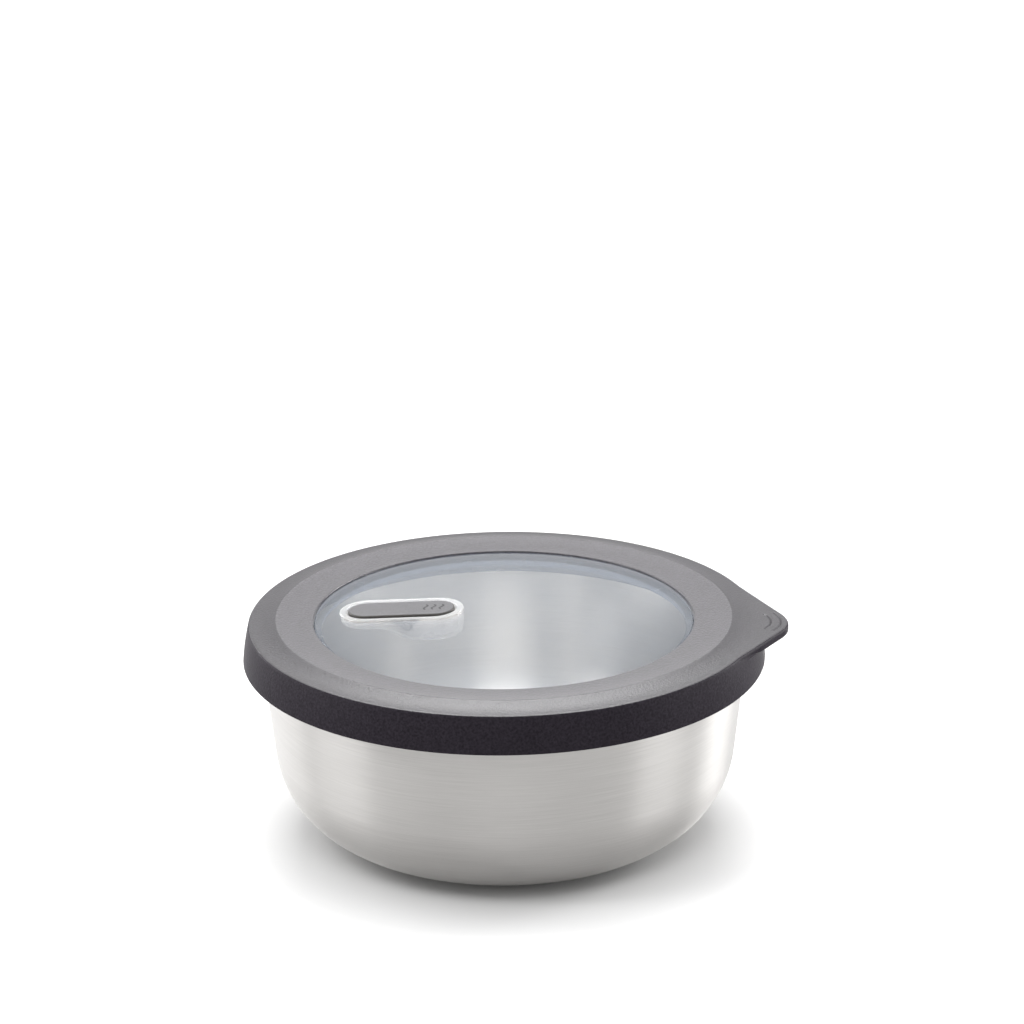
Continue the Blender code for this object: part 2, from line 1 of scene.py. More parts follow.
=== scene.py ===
"""Looks of a round steel food storage container with a vented window lid.

Metres, +Z up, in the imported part's own frame: the bowl's axis is Z and the lid's pull tab points to +X.
"""

import json
import math

import bmesh
import bpy
import numpy as np
from mathutils import Matrix, Vector


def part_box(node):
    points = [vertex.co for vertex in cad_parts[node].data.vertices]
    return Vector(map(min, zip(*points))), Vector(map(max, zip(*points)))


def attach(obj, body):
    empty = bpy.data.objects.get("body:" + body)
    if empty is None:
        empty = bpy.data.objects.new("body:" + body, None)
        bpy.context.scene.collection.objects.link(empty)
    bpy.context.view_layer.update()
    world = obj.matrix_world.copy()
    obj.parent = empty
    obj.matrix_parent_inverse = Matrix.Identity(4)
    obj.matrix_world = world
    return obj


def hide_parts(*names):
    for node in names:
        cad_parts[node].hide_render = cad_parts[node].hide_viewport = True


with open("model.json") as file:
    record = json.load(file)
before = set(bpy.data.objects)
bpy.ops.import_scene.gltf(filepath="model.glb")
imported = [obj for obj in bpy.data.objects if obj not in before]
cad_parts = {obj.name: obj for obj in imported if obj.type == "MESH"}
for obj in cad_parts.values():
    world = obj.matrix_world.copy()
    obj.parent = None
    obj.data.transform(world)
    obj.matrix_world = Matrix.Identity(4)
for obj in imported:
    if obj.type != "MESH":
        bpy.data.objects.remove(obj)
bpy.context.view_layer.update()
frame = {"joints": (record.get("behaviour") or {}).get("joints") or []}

MM = 0.001

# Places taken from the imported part
BOWL_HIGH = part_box("bowl")[1]
RING_LOW, RING_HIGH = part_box("lid_ring")
WINDOW_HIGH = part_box("lid_window")[1]
SEAL_LOW, SEAL_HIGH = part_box("rim_seal")
PIN_LOW, PIN_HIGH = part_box("vent_pivot_pin")
PIVOT = Vector(next(joint for joint in frame["joints"] if joint["name"] == "vent_tilt")["pos_m"])

CLEARANCE = 0.3 * MM

# Bowl
BASE_RADIUS = 38.4 * MM
CORNER_RADIUS = 28.8 * MM
WALL_LEAN = math.radians(6.4)
SHEET = 0.7 * MM
RIM_HEIGHT = BOWL_HIGH.z
RIM_RADIUS = BOWL_HIGH.x
BEAD_RADIUS = 1.2 * MM

# Ring
LID_RADIUS = -RING_LOW.x
SKIRT_BOTTOM = RING_LOW.z
RIDGE_HEIGHT = RING_HIGH.z
SKIRT_WALL = 2.0 * MM
SKIRT_FLARE = 1.8 * MM
SKIRT_BULGE = 0.25 * MM
SKIRT_ROUND = 0.45 * MM
RING_WIDTH = 18.8 * MM
RIDGE_SETBACK = 7.9 * MM
RIDGE_RISE = 1.05 * MM
RIDGE_SOFT_WIDTH = 0.7 * MM
RIDGE_SOFT_DEPTH = 0.05 * MM
EDGE_DROP = 1.5 * MM
DISH_DEPTH = 0.25 * MM
EDGE_ROUND = 0.9 * MM
INNER_ROUND = 0.3 * MM
SNAP_CLEARANCE = 0.35 * MM
SNAP_RISE = 1.9 * MM
SNAP_WIDTH = 0.6 * MM
EDGE_HEIGHT = RIDGE_HEIGHT - EDGE_DROP
RING_INNER_TOP = RIDGE_HEIGHT - RIDGE_RISE
SKIRT_HEIGHT = EDGE_HEIGHT - SKIRT_BOTTOM
EDGE_RADIUS = LID_RADIUS - SKIRT_FLARE
RIDGE_RADIUS = EDGE_RADIUS - RIDGE_SETBACK
OPENING_RADIUS = EDGE_RADIUS - RING_WIDTH
SNAP_RADIUS = RIM_RADIUS + SNAP_CLEARANCE

# Pull tab
TAB_TIP_RADIUS = 14.0 * MM
TAB_CENTRE = RING_HIGH.x - TAB_TIP_RADIUS
TAB_THICKNESS = 2.6 * MM
TAB_STEP = 0.15 * MM
TAB_ROOT = 0.2 * MM
TAB_ROUND = 0.5 * MM
TAB_FILLET = 0.8 * MM
TAB_BLEND = 3.0 * MM
TAB_RUN = 2.0 * MM
GROOVE_INSETS = (2.2 * MM, 5.1 * MM)
GROOVE_DEPTH = 0.32 * MM
GROOVE_HALF_WIDTH = 0.42 * MM
GROOVE_REACH = math.radians(38)

# Lid plate
FLANGE_RADIUS = WINDOW_HIGH.x
SEAL_TOP = SEAL_HIGH.z
LIP_BOTTOM = SEAL_LOW.z
SEAL_OUTER = SEAL_HIGH.x
SEAL_THICKNESS = 1.4 * MM
SEAL_ROUND = 0.3 * MM
SEAL_INNER_ROUND = 0.2 * MM
SEAL_EDGE_ROUND = 0.5 * MM
LIP_WIDTH = 3.5 * MM
LIP_CLEARANCE = 0.4 * MM
LIP_ROUND = 0.6 * MM
FLANGE_THICKNESS = 1.8 * MM
FLANGE_ROUND = 0.3 * MM
RIB_DEPTH = 5.6 * MM
RIB_WIDTH = 2.5 * MM
RIB_ROUND = 0.4 * MM
PLATE_FILLET = 0.2 * MM
STEP_WALL = 1.9 * MM
STEP_ROUND = 0.4 * MM
STEP_FILLET = 0.5 * MM
PANE_THICKNESS = 1.8 * MM
PANE_RECESS = 0.45 * MM
PANE_ROUND = 0.25 * MM
DOME_RISE = 2.55 * MM
FLANGE_BOTTOM = SEAL_TOP + CLEARANCE
FLANGE_TOP = FLANGE_BOTTOM + FLANGE_THICKNESS
RING_UNDERSIDE = FLANGE_TOP + CLEARANCE
WINDOW_RADIUS = OPENING_RADIUS - CLEARANCE
STEP_INNER = WINDOW_RADIUS - STEP_WALL
PANE_EDGE_HEIGHT = RING_INNER_TOP - PANE_RECESS
DOME_TOP = PANE_EDGE_HEIGHT + DOME_RISE
DOME_RADIUS = (WINDOW_RADIUS**2 + DOME_RISE**2) / (2 * DOME_RISE)

# Vent, in its own frame: x inwards along the window, z square to the pane
BUTTON_LENGTH = 31.0 * MM
BUTTON_WIDTH = 10.8 * MM
BUTTON_THICKNESS = 1.3 * MM
BUTTON_PROUD = 0.25 * MM
BUTTON_ROUND = 0.42 * MM
BUTTON_CROWN = 0.1 * MM
BUTTON_END_GAP = 0.65 * MM
BUTTON_SIDE_GAP = 1.4 * MM
TROUGH_END_WALL = 1.9 * MM
TROUGH_SIDE_WALL = 1.45 * MM
TROUGH_FLOOR = 0.7 * MM
TROUGH_ROUND = 0.9 * MM
TROUGH_DRAFT = 0.35 * MM
COLLAR_HEIGHT = 0.8 * MM
COLLAR_ROUND = 0.4 * MM
SHALLOW_DEPTH = 3.3 * MM
DEEP_DEPTH = 7.2 * MM
RAMP_BEFORE_PIVOT = 8.1 * MM
RAMP_AFTER_PIVOT = 2.4 * MM
VENT_EDGE_GAP = 7.1 * MM
VENT_HOLE_RADIUS = 1.5 * MM
PIVOT_DROP = 1.9 * MM
KEEL_DEPTH = 3.8 * MM
KEEL_OUTER = 6.1 * MM
KEEL_INNER = 4.0 * MM
KEEL_INSET = 0.4 * MM
KEEL_NOSE_RADIUS = 0.8 * MM
HUB_WALL = 0.5 * MM
PIN_RADIUS = (PIN_HIGH.z - PIN_LOW.z) / 2
PIN_LENGTH = PIN_HIGH.y - PIN_LOW.y
PIN_CHAMFER = 0.2 * MM
PLUG_TO_PIVOT = 11.6 * MM
PLUG_RADIUS = 3.5 * MM
PLUG_ROUND = 0.3 * MM
PLUG_STEM_RADIUS = 1.2 * MM
PLUG_STEM_LENGTH = 0.6 * MM
PLUG_STEM_ROUND = 0.2 * MM
TROUGH_INNER_LENGTH = BUTTON_LENGTH + 2 * BUTTON_END_GAP
TROUGH_INNER_WIDTH = BUTTON_WIDTH + 2 * BUTTON_SIDE_GAP
TROUGH_LENGTH = TROUGH_INNER_LENGTH + 2 * TROUGH_END_WALL
TROUGH_WIDTH = TROUGH_INNER_WIDTH + 2 * TROUGH_SIDE_WALL
VENT_DISTANCE = WINDOW_RADIUS - VENT_EDGE_GAP - TROUGH_LENGTH / 2
VENT_TILT = math.asin(VENT_DISTANCE / DOME_RADIUS)
BUTTON_TOP = COLLAR_HEIGHT + BUTTON_PROUD
BUTTON_UNDERSIDE = BUTTON_TOP - BUTTON_THICKNESS
CROWN_BASE = BUTTON_TOP - BUTTON_CROWN
PIVOT_Z = BUTTON_UNDERSIDE - PIVOT_DROP
SHALLOW_FLOOR = COLLAR_HEIGHT - SHALLOW_DEPTH + TROUGH_FLOOR

# Printed mark on the button
MARK_X = 9.4 * MM
MARK_PITCH = 2.3 * MM
STROKE_HEIGHT = 4.0 * MM
STROKE_HALF_WIDTH = 0.28 * MM
STROKE_SWAY = 0.5 * MM
STROKE_TAPER = 8
STROKE_END = 0.2  # share of its width that a stroke's end keeps
INK_THICKNESS = 0.03 * MM

# Faces whose normal rises less than this are sides
STEEP = 0.75

# The button's pale face reaches this far below the foot of its crown
FACE_MARGIN = BUTTON_ROUND / 40

# Fineness of the meshes, as counts of segments
AROUND = 240
AROUND_SMALL = 48
ROUND_STEPS = 6
CORNER_STEPS = 40
BEAD_STEPS = 28
PANE_STEPS = 39
STADIUM_END_STEPS = 24
STADIUM_SIDE_STEPS = 40
CROWN_STEPS = 8
NOSE_STEPS = 10
STROKE_STEPS = 24
INNER_ROUND_STEPS = 4
INNER_ZONE_STEPS = 14
RIDGE_STEPS = 8
OUTER_ZONE_STEPS = 12
TAB_RUN_STEPS = 43
EDGE_STEPS = 5
TAB_SIDE_STEPS = 4
TAB_UNDERSIDE_STEPS = 13
TAB_FILLET_STEPS = 6
SKIRT_STEPS = 11
SNAP_STEPS = 10
SKIRT_INNER_STEPS = 7
TAB_ROWS = 360  # over twice TAB_HALF_TURN, which takes in the whole tab
OTHER_ROWS = 204
TAB_HALF_TURN = math.radians(33)

# Edges sharper than these stay sharp, and points closer than WELD become one
SHARP = math.radians(38)
RING_SHARP = math.radians(45)
WELD = 0.5e-6

# Shares of the way to the middle for the rows of a flat end, which ends in a sliver that is filled
NEARLY_ALL = 0.999
FLOOR_SHARES = (NEARLY_ALL, 0.6, 0.3)
UNDERSIDE_SHARES = (NEARLY_ALL, 0.5)

# Turns along a rounded edge
QUARTER = np.linspace(0, math.pi / 2, ROUND_STEPS + 1)


# Outlines


def smooth(share):
    """Soft step from 0 to 1."""
    share = np.clip(share, 0.0, 1.0)
    return share * share * (3 - 2 * share)


def arc(centre, radius, start, end, steps):
    """Points of an arc from one angle to another, in radians, both ends included."""
    turns = np.linspace(start, end, steps + 1)
    return [(centre[0] + radius * math.cos(t), centre[1] + radius * math.sin(t)) for t in turns]


def filleted(corners, closed=True):
    """Outline through (x, y, radius) corners, each rounded by its own radius."""
    points = []
    count = len(corners)
    for index, (x, y, radius) in enumerate(corners):
        if radius == 0 or (not closed and index in (0, count - 1)):
            points.append((x, y))
            continue
        here = Vector((x, y))
        before = (Vector(corners[index - 1][:2]) - here).normalized()
        after = (Vector(corners[(index + 1) % count][:2]) - here).normalized()
        half = before.angle(after) / 2
        centre = here + (before + after).normalized() * radius / math.sin(half)
        first = here + before * radius / math.tan(half) - centre
        last = here + after * radius / math.tan(half) - centre
        start = math.atan2(first.y, first.x)
        sweep = math.remainder(math.atan2(last.y, last.x) - start, 2 * math.pi)
        points += arc(centre, radius, start, start + sweep, ROUND_STEPS)
    return points


def stadium(length, width):
    """Closed outline with two straight sides along x and two round ends."""
    radius = width / 2
    reach = length / 2 - radius
    side = np.linspace(reach, -reach, STADIUM_SIDE_STEPS + 1)[1:-1]
    right = arc((reach, 0), radius, -math.pi / 2, math.pi / 2, STADIUM_END_STEPS)
    left = arc((-reach, 0), radius, math.pi / 2, 3 * math.pi / 2, STADIUM_END_STEPS)
    back = [(x, radius) for x in side]
    front = [(x, -radius) for x in side[::-1]]
    return right + back + left + front


def dome_height(radius):
    """Height of the pane's top face at a radius."""
    return DOME_TOP - DOME_RADIUS + math.sqrt(DOME_RADIUS**2 - radius**2)


def wall_inner(height):
    """Radius of the bowl's inner wall at a height."""
    tangent_radius = BASE_RADIUS + CORNER_RADIUS * math.cos(WALL_LEAN)
    tangent_height = CORNER_RADIUS * (1 - math.sin(WALL_LEAN))
    outer = tangent_radius + (height - tangent_height) * math.tan(WALL_LEAN)
    return outer - SHEET / math.cos(WALL_LEAN)


def skirt_outer(height):
    """Radius of the skirt's outer face at a height."""
    share = (EDGE_HEIGHT - height) / SKIRT_HEIGHT
    return EDGE_RADIUS + SKIRT_FLARE * share + 4 * SKIRT_BULGE * share * (1 - share)


def skirt_inner(height):
    """Radius of the skirt's inner face at a height."""
    return EDGE_RADIUS + SKIRT_FLARE * (EDGE_HEIGHT - height) / SKIRT_HEIGHT - SKIRT_WALL


def trough_depth(x):
    """Depth of the trough's underside below the collar's top: shallow, smooth ramp, deep."""
    start = PIVOT_X - RAMP_BEFORE_PIVOT
    share = (x - start) / (RAMP_BEFORE_PIVOT + RAMP_AFTER_PIVOT)
    return SHALLOW_DEPTH + (DEEP_DEPTH - SHALLOW_DEPTH) * float(smooth(share))


def vent_place(x, z):
    """A place in the vent's middle plane."""
    return VENT @ Matrix.Translation((x, 0, z))


def vent_height(face):
    """Height of a face's middle in the vent's frame."""
    return (TO_VENT @ face.center).z


# The vent's frame, with its own x axis along the slope of the pane
VENT = (
    Matrix.Translation((-VENT_DISTANCE, 0, dome_height(VENT_DISTANCE)))
    @ Matrix.Rotation(-VENT_TILT, 4, "Y")
)
TO_VENT = VENT.inverted()
PIVOT_X = (TO_VENT @ PIVOT).x
PLUG_X = PIVOT_X - PLUG_TO_PIVOT

# Place of what turns on the pin: z along the pin, y up
PIVOT_PLACE = vent_place(PIVOT_X, PIVOT_Z) @ Matrix.Rotation(math.pi / 2, 4, "X")


# Meshes


def mesh_object(name, shape, sharp=SHARP):
    """An object for a finished bmesh, shaded smooth apart from its sharp edges."""
    bmesh.ops.remove_doubles(shape, verts=shape.verts, dist=WELD)
    bmesh.ops.recalc_face_normals(shape, faces=shape.faces)
    mesh = bpy.data.meshes.new(name)
    shape.to_mesh(mesh)
    shape.free()
    mesh.shade_smooth()
    mesh.set_sharp_from_angle(angle=sharp)
    made = bpy.data.objects.new(name, mesh)
    bpy.context.scene.collection.objects.link(made)
    return made


def loft(rows, closed_rows, closed_columns, place=Matrix.Identity(4)):
    """A bmesh through rows of points, with a quad between neighbours."""
    shape = bmesh.new()
    grid = [[shape.verts.new(place @ Vector(point)) for point in row] for row in rows]
    row_count = len(grid)
    column_count = len(grid[0])
    for i in range(row_count if closed_rows else row_count - 1):
        for j in range(column_count if closed_columns else column_count - 1):
            after = (j + 1) % column_count
            below = (i + 1) % row_count
            shape.faces.new((grid[i][j], grid[i][after], grid[below][after], grid[below][j]))
    return shape


def clean_axis(shape):
    """Weld the points that a loft leaves on top of each other and drop the empty faces."""
    bmesh.ops.remove_doubles(shape, verts=shape.verts, dist=WELD)
    bmesh.ops.dissolve_degenerate(shape, dist=WELD, edges=shape.edges)
    return shape


def fill_ends(shape):
    """Close the open ends of a loft."""
    bmesh.ops.holes_fill(shape, edges=[edge for edge in shape.edges if edge.is_boundary])
    return shape


def turned(name, profile, closed, steps=AROUND, place=Matrix.Identity(4)):
    """A turned solid: (radius, height) points swept round z."""
    turns = np.linspace(0, 2 * math.pi, steps, endpoint=False)
    rows = [[(r * math.cos(t), r * math.sin(t), z) for r, z in profile] for t in turns]
    shape = loft(rows, True, closed, place)
    return mesh_object(name, clean_axis(shape))


def prism(name, outline, low, high, place=Matrix.Identity(4)):
    """A straight solid over a closed outline, from one height to another."""
    shape = loft([[(x, y, z) for x, y in outline] for z in (low, high)], False, True, place)
    return mesh_object(name, fill_ends(shape))


def rod(name, radius, length, place):
    """A plain round rod along z, centred on its place."""
    half = length / 2
    profile = [(0, half), (radius, half), (radius, -half), (0, -half)]
    return turned(name, profile, False, AROUND_SMALL, place)


def carve(target, operation, *tools):
    """Join tools to a solid or cut them out of it, and remove the tools."""
    for tool in tools:
        modifier = target.modifiers.new("carve", "BOOLEAN")
        modifier.operation = operation
        modifier.solver = "EXACT"
        modifier.object = tool
    depsgraph = bpy.context.evaluated_depsgraph_get()
    mesh = bpy.data.meshes.new_from_object(target.evaluated_get(depsgraph))
    target.modifiers.clear()
    target.data = mesh
    mesh.shade_smooth()
    mesh.set_sharp_from_angle(angle=SHARP)
    for tool in tools:
        bpy.data.objects.remove(tool)
    return target


def dress(piece, materials, body, slot, *nodes):
    """Give a piece its materials and its body, and hide the solids that it stands for. slot is not used.
    """
    piece.data.materials.clear()
    for material in materials:
        piece.data.materials.append(material)
    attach(piece, body)
    if nodes:
        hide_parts(*nodes)
    return piece


def other_finish(piece, number, chosen):
    """Give the faces that a test picks another of the piece's materials, counted from 0."""
    for face in piece.data.polygons:
        if chosen(face):
            face.material_index = number


# Materials

# Sockets of a Mix node that blends colours
MIX_FIRST = 6
MIX_SECOND = 7
MIX_RESULT = 2

WHITE = (1, 1, 1, 1)

# Least distance from the axis, so that nothing is divided by zero
AXIS_GAP = 0.5 * MM

# Brushed steel: noise cells round the axis, and how lines and streaks mix
LINE_CELLS = 3.0
STREAK_CELLS = 1.5
LINES_PER_STREAK = 6
LINE_SHARE = 0.9
STEEL_SWING = 0.05  # of the roughness, to either side

# Moulded grain: the noise that makes it, and how grain and clouds mix
CLOUDS_PER_METRE = 90.0
GRAIN_RANGE = (0.3, 0.7)  # part of the noise's range that the colours spread over
GRAIN_SHARE = 0.8
GRAIN_SWING = 0.08  # of the roughness, to either side
GRAIN_RELIEF = 0.12 * MM

# Clear and milky plastic
PLASTIC_IOR = 1.43
HAZE_PER_METRE = 70.0
VEIL_SWING = 0.15  # share of a veil
GLOSS_SWING = 0.3  # share of a roughness
MILK_ROUGHNESS = 0.4
MILK_THROUGH = 0.5  # share of the milk that light comes through


def node(tree, kind, inputs=(), **settings):
    """A node with its settings, and its inputs set or linked."""
    made = tree.nodes.new(kind)
    for key, value in settings.items():
        setattr(made, key, value)
    for key, value in dict(inputs).items():
        if isinstance(value, bpy.types.NodeSocket):
            tree.links.new(value, made.inputs[key])
        else:
            made.inputs[key].default_value = value
    return made


def math_node(tree, operation, first, second=0.0):
    """The result of one sum of two values or sockets."""
    return node(tree, "ShaderNodeMath", {0: first, 1: second}, operation=operation).outputs[0]


def spread(tree, value, low, high, start=0.0, end=1.0):
    """A value that runs from start to end, stretched to run from low to high."""
    inputs = {"Value": value, "From Min": start, "From Max": end, "To Min": low, "To Max": high}
    return node(tree, "ShaderNodeMapRange", inputs).outputs["Result"]


def blend_colours(tree, share, first, second):
    """A colour between two, by a share from 0 to 1."""
    inputs = {"Factor": share, MIX_FIRST: (*first, 1), MIX_SECOND: (*second, 1)}
    return node(tree, "ShaderNodeMix", inputs, data_type="RGBA").outputs[MIX_RESULT]


def mixed(tree, first, second, share):
    """A share of one value and the rest of another."""
    most = math_node(tree, "MULTIPLY", first, share)
    return math_node(tree, "ADD", most, math_node(tree, "MULTIPLY", second, 1 - share))


def new_material(name, **values):
    """A material with one Principled shader, its constant values set on its own sockets."""
    made = bpy.data.materials.new(name)
    made.use_nodes = True
    shader = made.node_tree.nodes["Principled BSDF"]
    for key, value in values.items():
        shader.inputs[key.replace("_", " ")].default_value = value
    return made, made.node_tree, shader


def place_of(tree):
    """A piece's own coordinates, in metres."""
    return node(tree, "ShaderNodeTexCoord").outputs["Object"]


def cylinder_place(tree):
    """A piece's own x, y and z, and its distance from the z axis, in metres."""
    position = node(tree, "ShaderNodeSeparateXYZ", {0: place_of(tree)})
    x, y, z = (position.outputs[axis] for axis in "XYZ")
    x_square = math_node(tree, "MULTIPLY", x, x)
    y_square = math_node(tree, "MULTIPLY", y, y)
    distance = math_node(tree, "SQRT", math_node(tree, "ADD", x_square, y_square))
    return x, y, z, math_node(tree, "MAXIMUM", distance, AXIS_GAP)


def noise(tree, vector, scale, detail=3.0, roughness=0.5):
    """Noise from 0 to 1."""
    inputs = {"Vector": vector, "Scale": scale, "Detail": detail, "Roughness": roughness}
    return node(tree, "ShaderNodeTexNoise", inputs).outputs["Fac"]


def link(tree, source, shader, name):
    """Link a socket to a named input of a shader, background or output node."""
    tree.links.new(source, shader.inputs[name])


def vary_roughness(tree, shader, value, middle, swing):
    """Roughness that follows a value from 0 to 1, by a swing to either side of its middle."""
    link(tree, spread(tree, value, middle - swing, middle + swing), shader, "Roughness")


def add_bump(tree, shader, height, strength, distance):
    """Fine relief on a surface."""
    inputs = {"Height": height, "Strength": strength, "Distance": distance}
    bump = node(tree, "ShaderNodeBump", inputs)
    link(tree, bump.outputs["Normal"], shader, "Normal")


def brushed_steel(name, low, high, roughness, lines_per_metre):
    """Steel brushed round its own z axis, with fine lines and faint wider streaks."""
    made, tree, shader = new_material(
        name, Metallic=1.0, Anisotropic=0.88, Anisotropic_Rotation=0.25
    )
    x, y, z, radius = cylinder_place(tree)
    along = math_node(tree, "ADD", radius, z)
    around_x = math_node(tree, "DIVIDE", x, radius)
    around_y = math_node(tree, "DIVIDE", y, radius)

    def rounds(cells, per_metre):
        """Place on the surface, drawn out round the axis."""
        inputs = {
            "X": math_node(tree, "MULTIPLY", around_x, cells),
            "Y": math_node(tree, "MULTIPLY", around_y, cells),
            "Z": math_node(tree, "MULTIPLY", along, per_metre),
        }
        return node(tree, "ShaderNodeCombineXYZ", inputs).outputs[0]

    lines = noise(tree, rounds(LINE_CELLS, lines_per_metre), scale=1.0, detail=4.0, roughness=0.7)
    streak_place = rounds(STREAK_CELLS, lines_per_metre / LINES_PER_STREAK)
    streaks = noise(tree, streak_place, scale=1.0, detail=2.0)
    both = mixed(tree, lines, streaks, LINE_SHARE)
    link(tree, blend_colours(tree, both, low, high), shader, "Base Color")
    vary_roughness(tree, shader, both, roughness, STEEL_SWING)
    tangent = node(tree, "ShaderNodeTangent", direction_type="RADIAL", axis="Z")
    link(tree, tangent.outputs[0], shader, "Tangent")
    add_bump(tree, shader, lines, strength=0.1, distance=0.02 * MM)
    return made


def speckle(tree, shader, roughness, grain, relief):
    """Fine moulded grain: uneven roughness, a little relief and a shade from 0 to 1 for the colour."""
    position = place_of(tree)
    fine = noise(tree, position, grain, detail=2.0, roughness=0.6)
    clouds = noise(tree, position, CLOUDS_PER_METRE)
    vary_roughness(tree, shader, fine, roughness, GRAIN_SWING)
    add_bump(tree, shader, fine, relief, GRAIN_RELIEF)
    return mixed(tree, spread(tree, fine, 0.0, 1.0, *GRAIN_RANGE), clouds, GRAIN_SHARE)


def grained(name, low, high, roughness, grain, relief, **values):
    """Moulded plastic with a fine grain, so many to the metre. relief is how strongly it stands out."""
    made, tree, shader = new_material(name, **values)
    shade = speckle(tree, shader, roughness, grain, relief)
    link(tree, blend_colours(tree, shade, low, high), shader, "Base Color")
    return made


def blend_shaders(tree, share, first, second):
    """A shader between two, by a share from 0 to 1."""
    inputs = {0: share, 1: first.outputs[0], 2: second.outputs[0]}
    return node(tree, "ShaderNodeMixShader", inputs)


def see_through(name, clear, milk, veil, roughness):
    """Clear or milky plastic with a gloss on its outer faces. veil is the milky share."""
    made, tree, matt = new_material(
        name, Base_Color=(*milk, 1), Roughness=MILK_ROUGHNESS, Specular_IOR_Level=0.0
    )
    haze = noise(tree, place_of(tree), HAZE_PER_METRE)
    glow = node(tree, "ShaderNodeBsdfTranslucent", {"Color": (*milk, 1)})
    milky = blend_shaders(tree, MILK_THROUGH, matt, glow)
    window = node(tree, "ShaderNodeBsdfTransparent", {"Color": (*clear, 1)})
    share = spread(tree, haze, veil * (1 - VEIL_SWING), veil * (1 + VEIL_SWING))
    body = blend_shaders(tree, share, window, milky)
    rough = spread(tree, haze, roughness * (1 - GLOSS_SWING), roughness * (1 + GLOSS_SWING))
    gloss = node(tree, "ShaderNodeBsdfAnisotropic", {"Roughness": rough, "Color": WHITE})
    inside = node(tree, "ShaderNodeNewGeometry").outputs["Backfacing"]
    outside = math_node(tree, "SUBTRACT", 1.0, inside)
    fresnel = node(tree, "ShaderNodeFresnel", {"IOR": PLASTIC_IOR}).outputs[0]
    whole = blend_shaders(tree, math_node(tree, "MULTIPLY", fresnel, outside), body, gloss)
    link(tree, whole.outputs[0], tree.nodes["Material Output"], "Surface")
    return made


def silicone(name, low, high):
    """Soft translucent white silicone."""
    made, tree, shader = new_material(
        name, Subsurface_Weight=0.35, Subsurface_Scale=2 * MM, Roughness=0.5, IOR=1.42
    )
    clouds = noise(tree, place_of(tree), scale=300.0)
    link(tree, blend_colours(tree, clouds, low, high), shader, "Base Color")
    add_bump(tree, shader, noise(tree, place_of(tree), scale=2500.0), strength=0.1, distance=0.05 * MM)
    return made


# Pieces


def make_bowl(outside, inside):
    """Deep-drawn bowl with a flat base, leaning wall and rolled rim."""
    corner = (BASE_RADIUS, CORNER_RADIUS)
    down = -math.pi / 2
    bead_height = RIM_HEIGHT - BEAD_RADIUS
    bead = (RIM_RADIUS - BEAD_RADIUS, bead_height)
    roll_start = math.pi - WALL_LEAN
    roll_end = roll_start + math.acos(1 - SHEET / BEAD_RADIUS) - 2 * math.pi
    profile = [(0.0, SHEET), (BASE_RADIUS / 2, SHEET)]
    profile += arc(corner, CORNER_RADIUS - SHEET, down, -WALL_LEAN, CORNER_STEPS)
    profile += arc(bead, BEAD_RADIUS, roll_start, roll_end, BEAD_STEPS)
    profile += arc(corner, CORNER_RADIUS, -WALL_LEAN, down, CORNER_STEPS)
    profile += [(BASE_RADIUS / 2, 0.0), (0.0, 0.0)]
    bowl = turned("bowl_shell", profile, False)
    dress(bowl, [outside, inside], "bowl", "bowl_steel", "bowl")

    def faces_the_axis(face):
        """Whether a face is on the floor or on the wall's inside."""
        return face.normal.z > STEEP or face.normal.xy.dot(face.center.xy) < 0

    # Painted light: the floor and the wall's inside take the lighter, warmer copy of the steel
    other_finish(bowl, 1, faces_the_axis)


def make_seal(material):
    """Flat seal with a lip that hangs into the bowl's mouth. Gives the lip's inner radius."""
    seal_bottom = SEAL_TOP - SEAL_THICKNESS
    lip_outer = wall_inner(LIP_BOTTOM) - LIP_CLEARANCE
    lip_inner = lip_outer - LIP_WIDTH
    corners = [
        (lip_inner, SEAL_TOP, SEAL_INNER_ROUND),
        (SEAL_OUTER, SEAL_TOP, SEAL_ROUND),
        (SEAL_OUTER, seal_bottom, SEAL_EDGE_ROUND),
        (lip_outer, seal_bottom, SEAL_ROUND),
        (lip_outer, LIP_BOTTOM, LIP_ROUND),
        (lip_inner, LIP_BOTTOM, LIP_ROUND),
    ]
    seal = turned("seal_ring", filleted(corners), True)
    dress(seal, [material], "lid", "seal_silicone", "rim_seal")
    return lip_inner


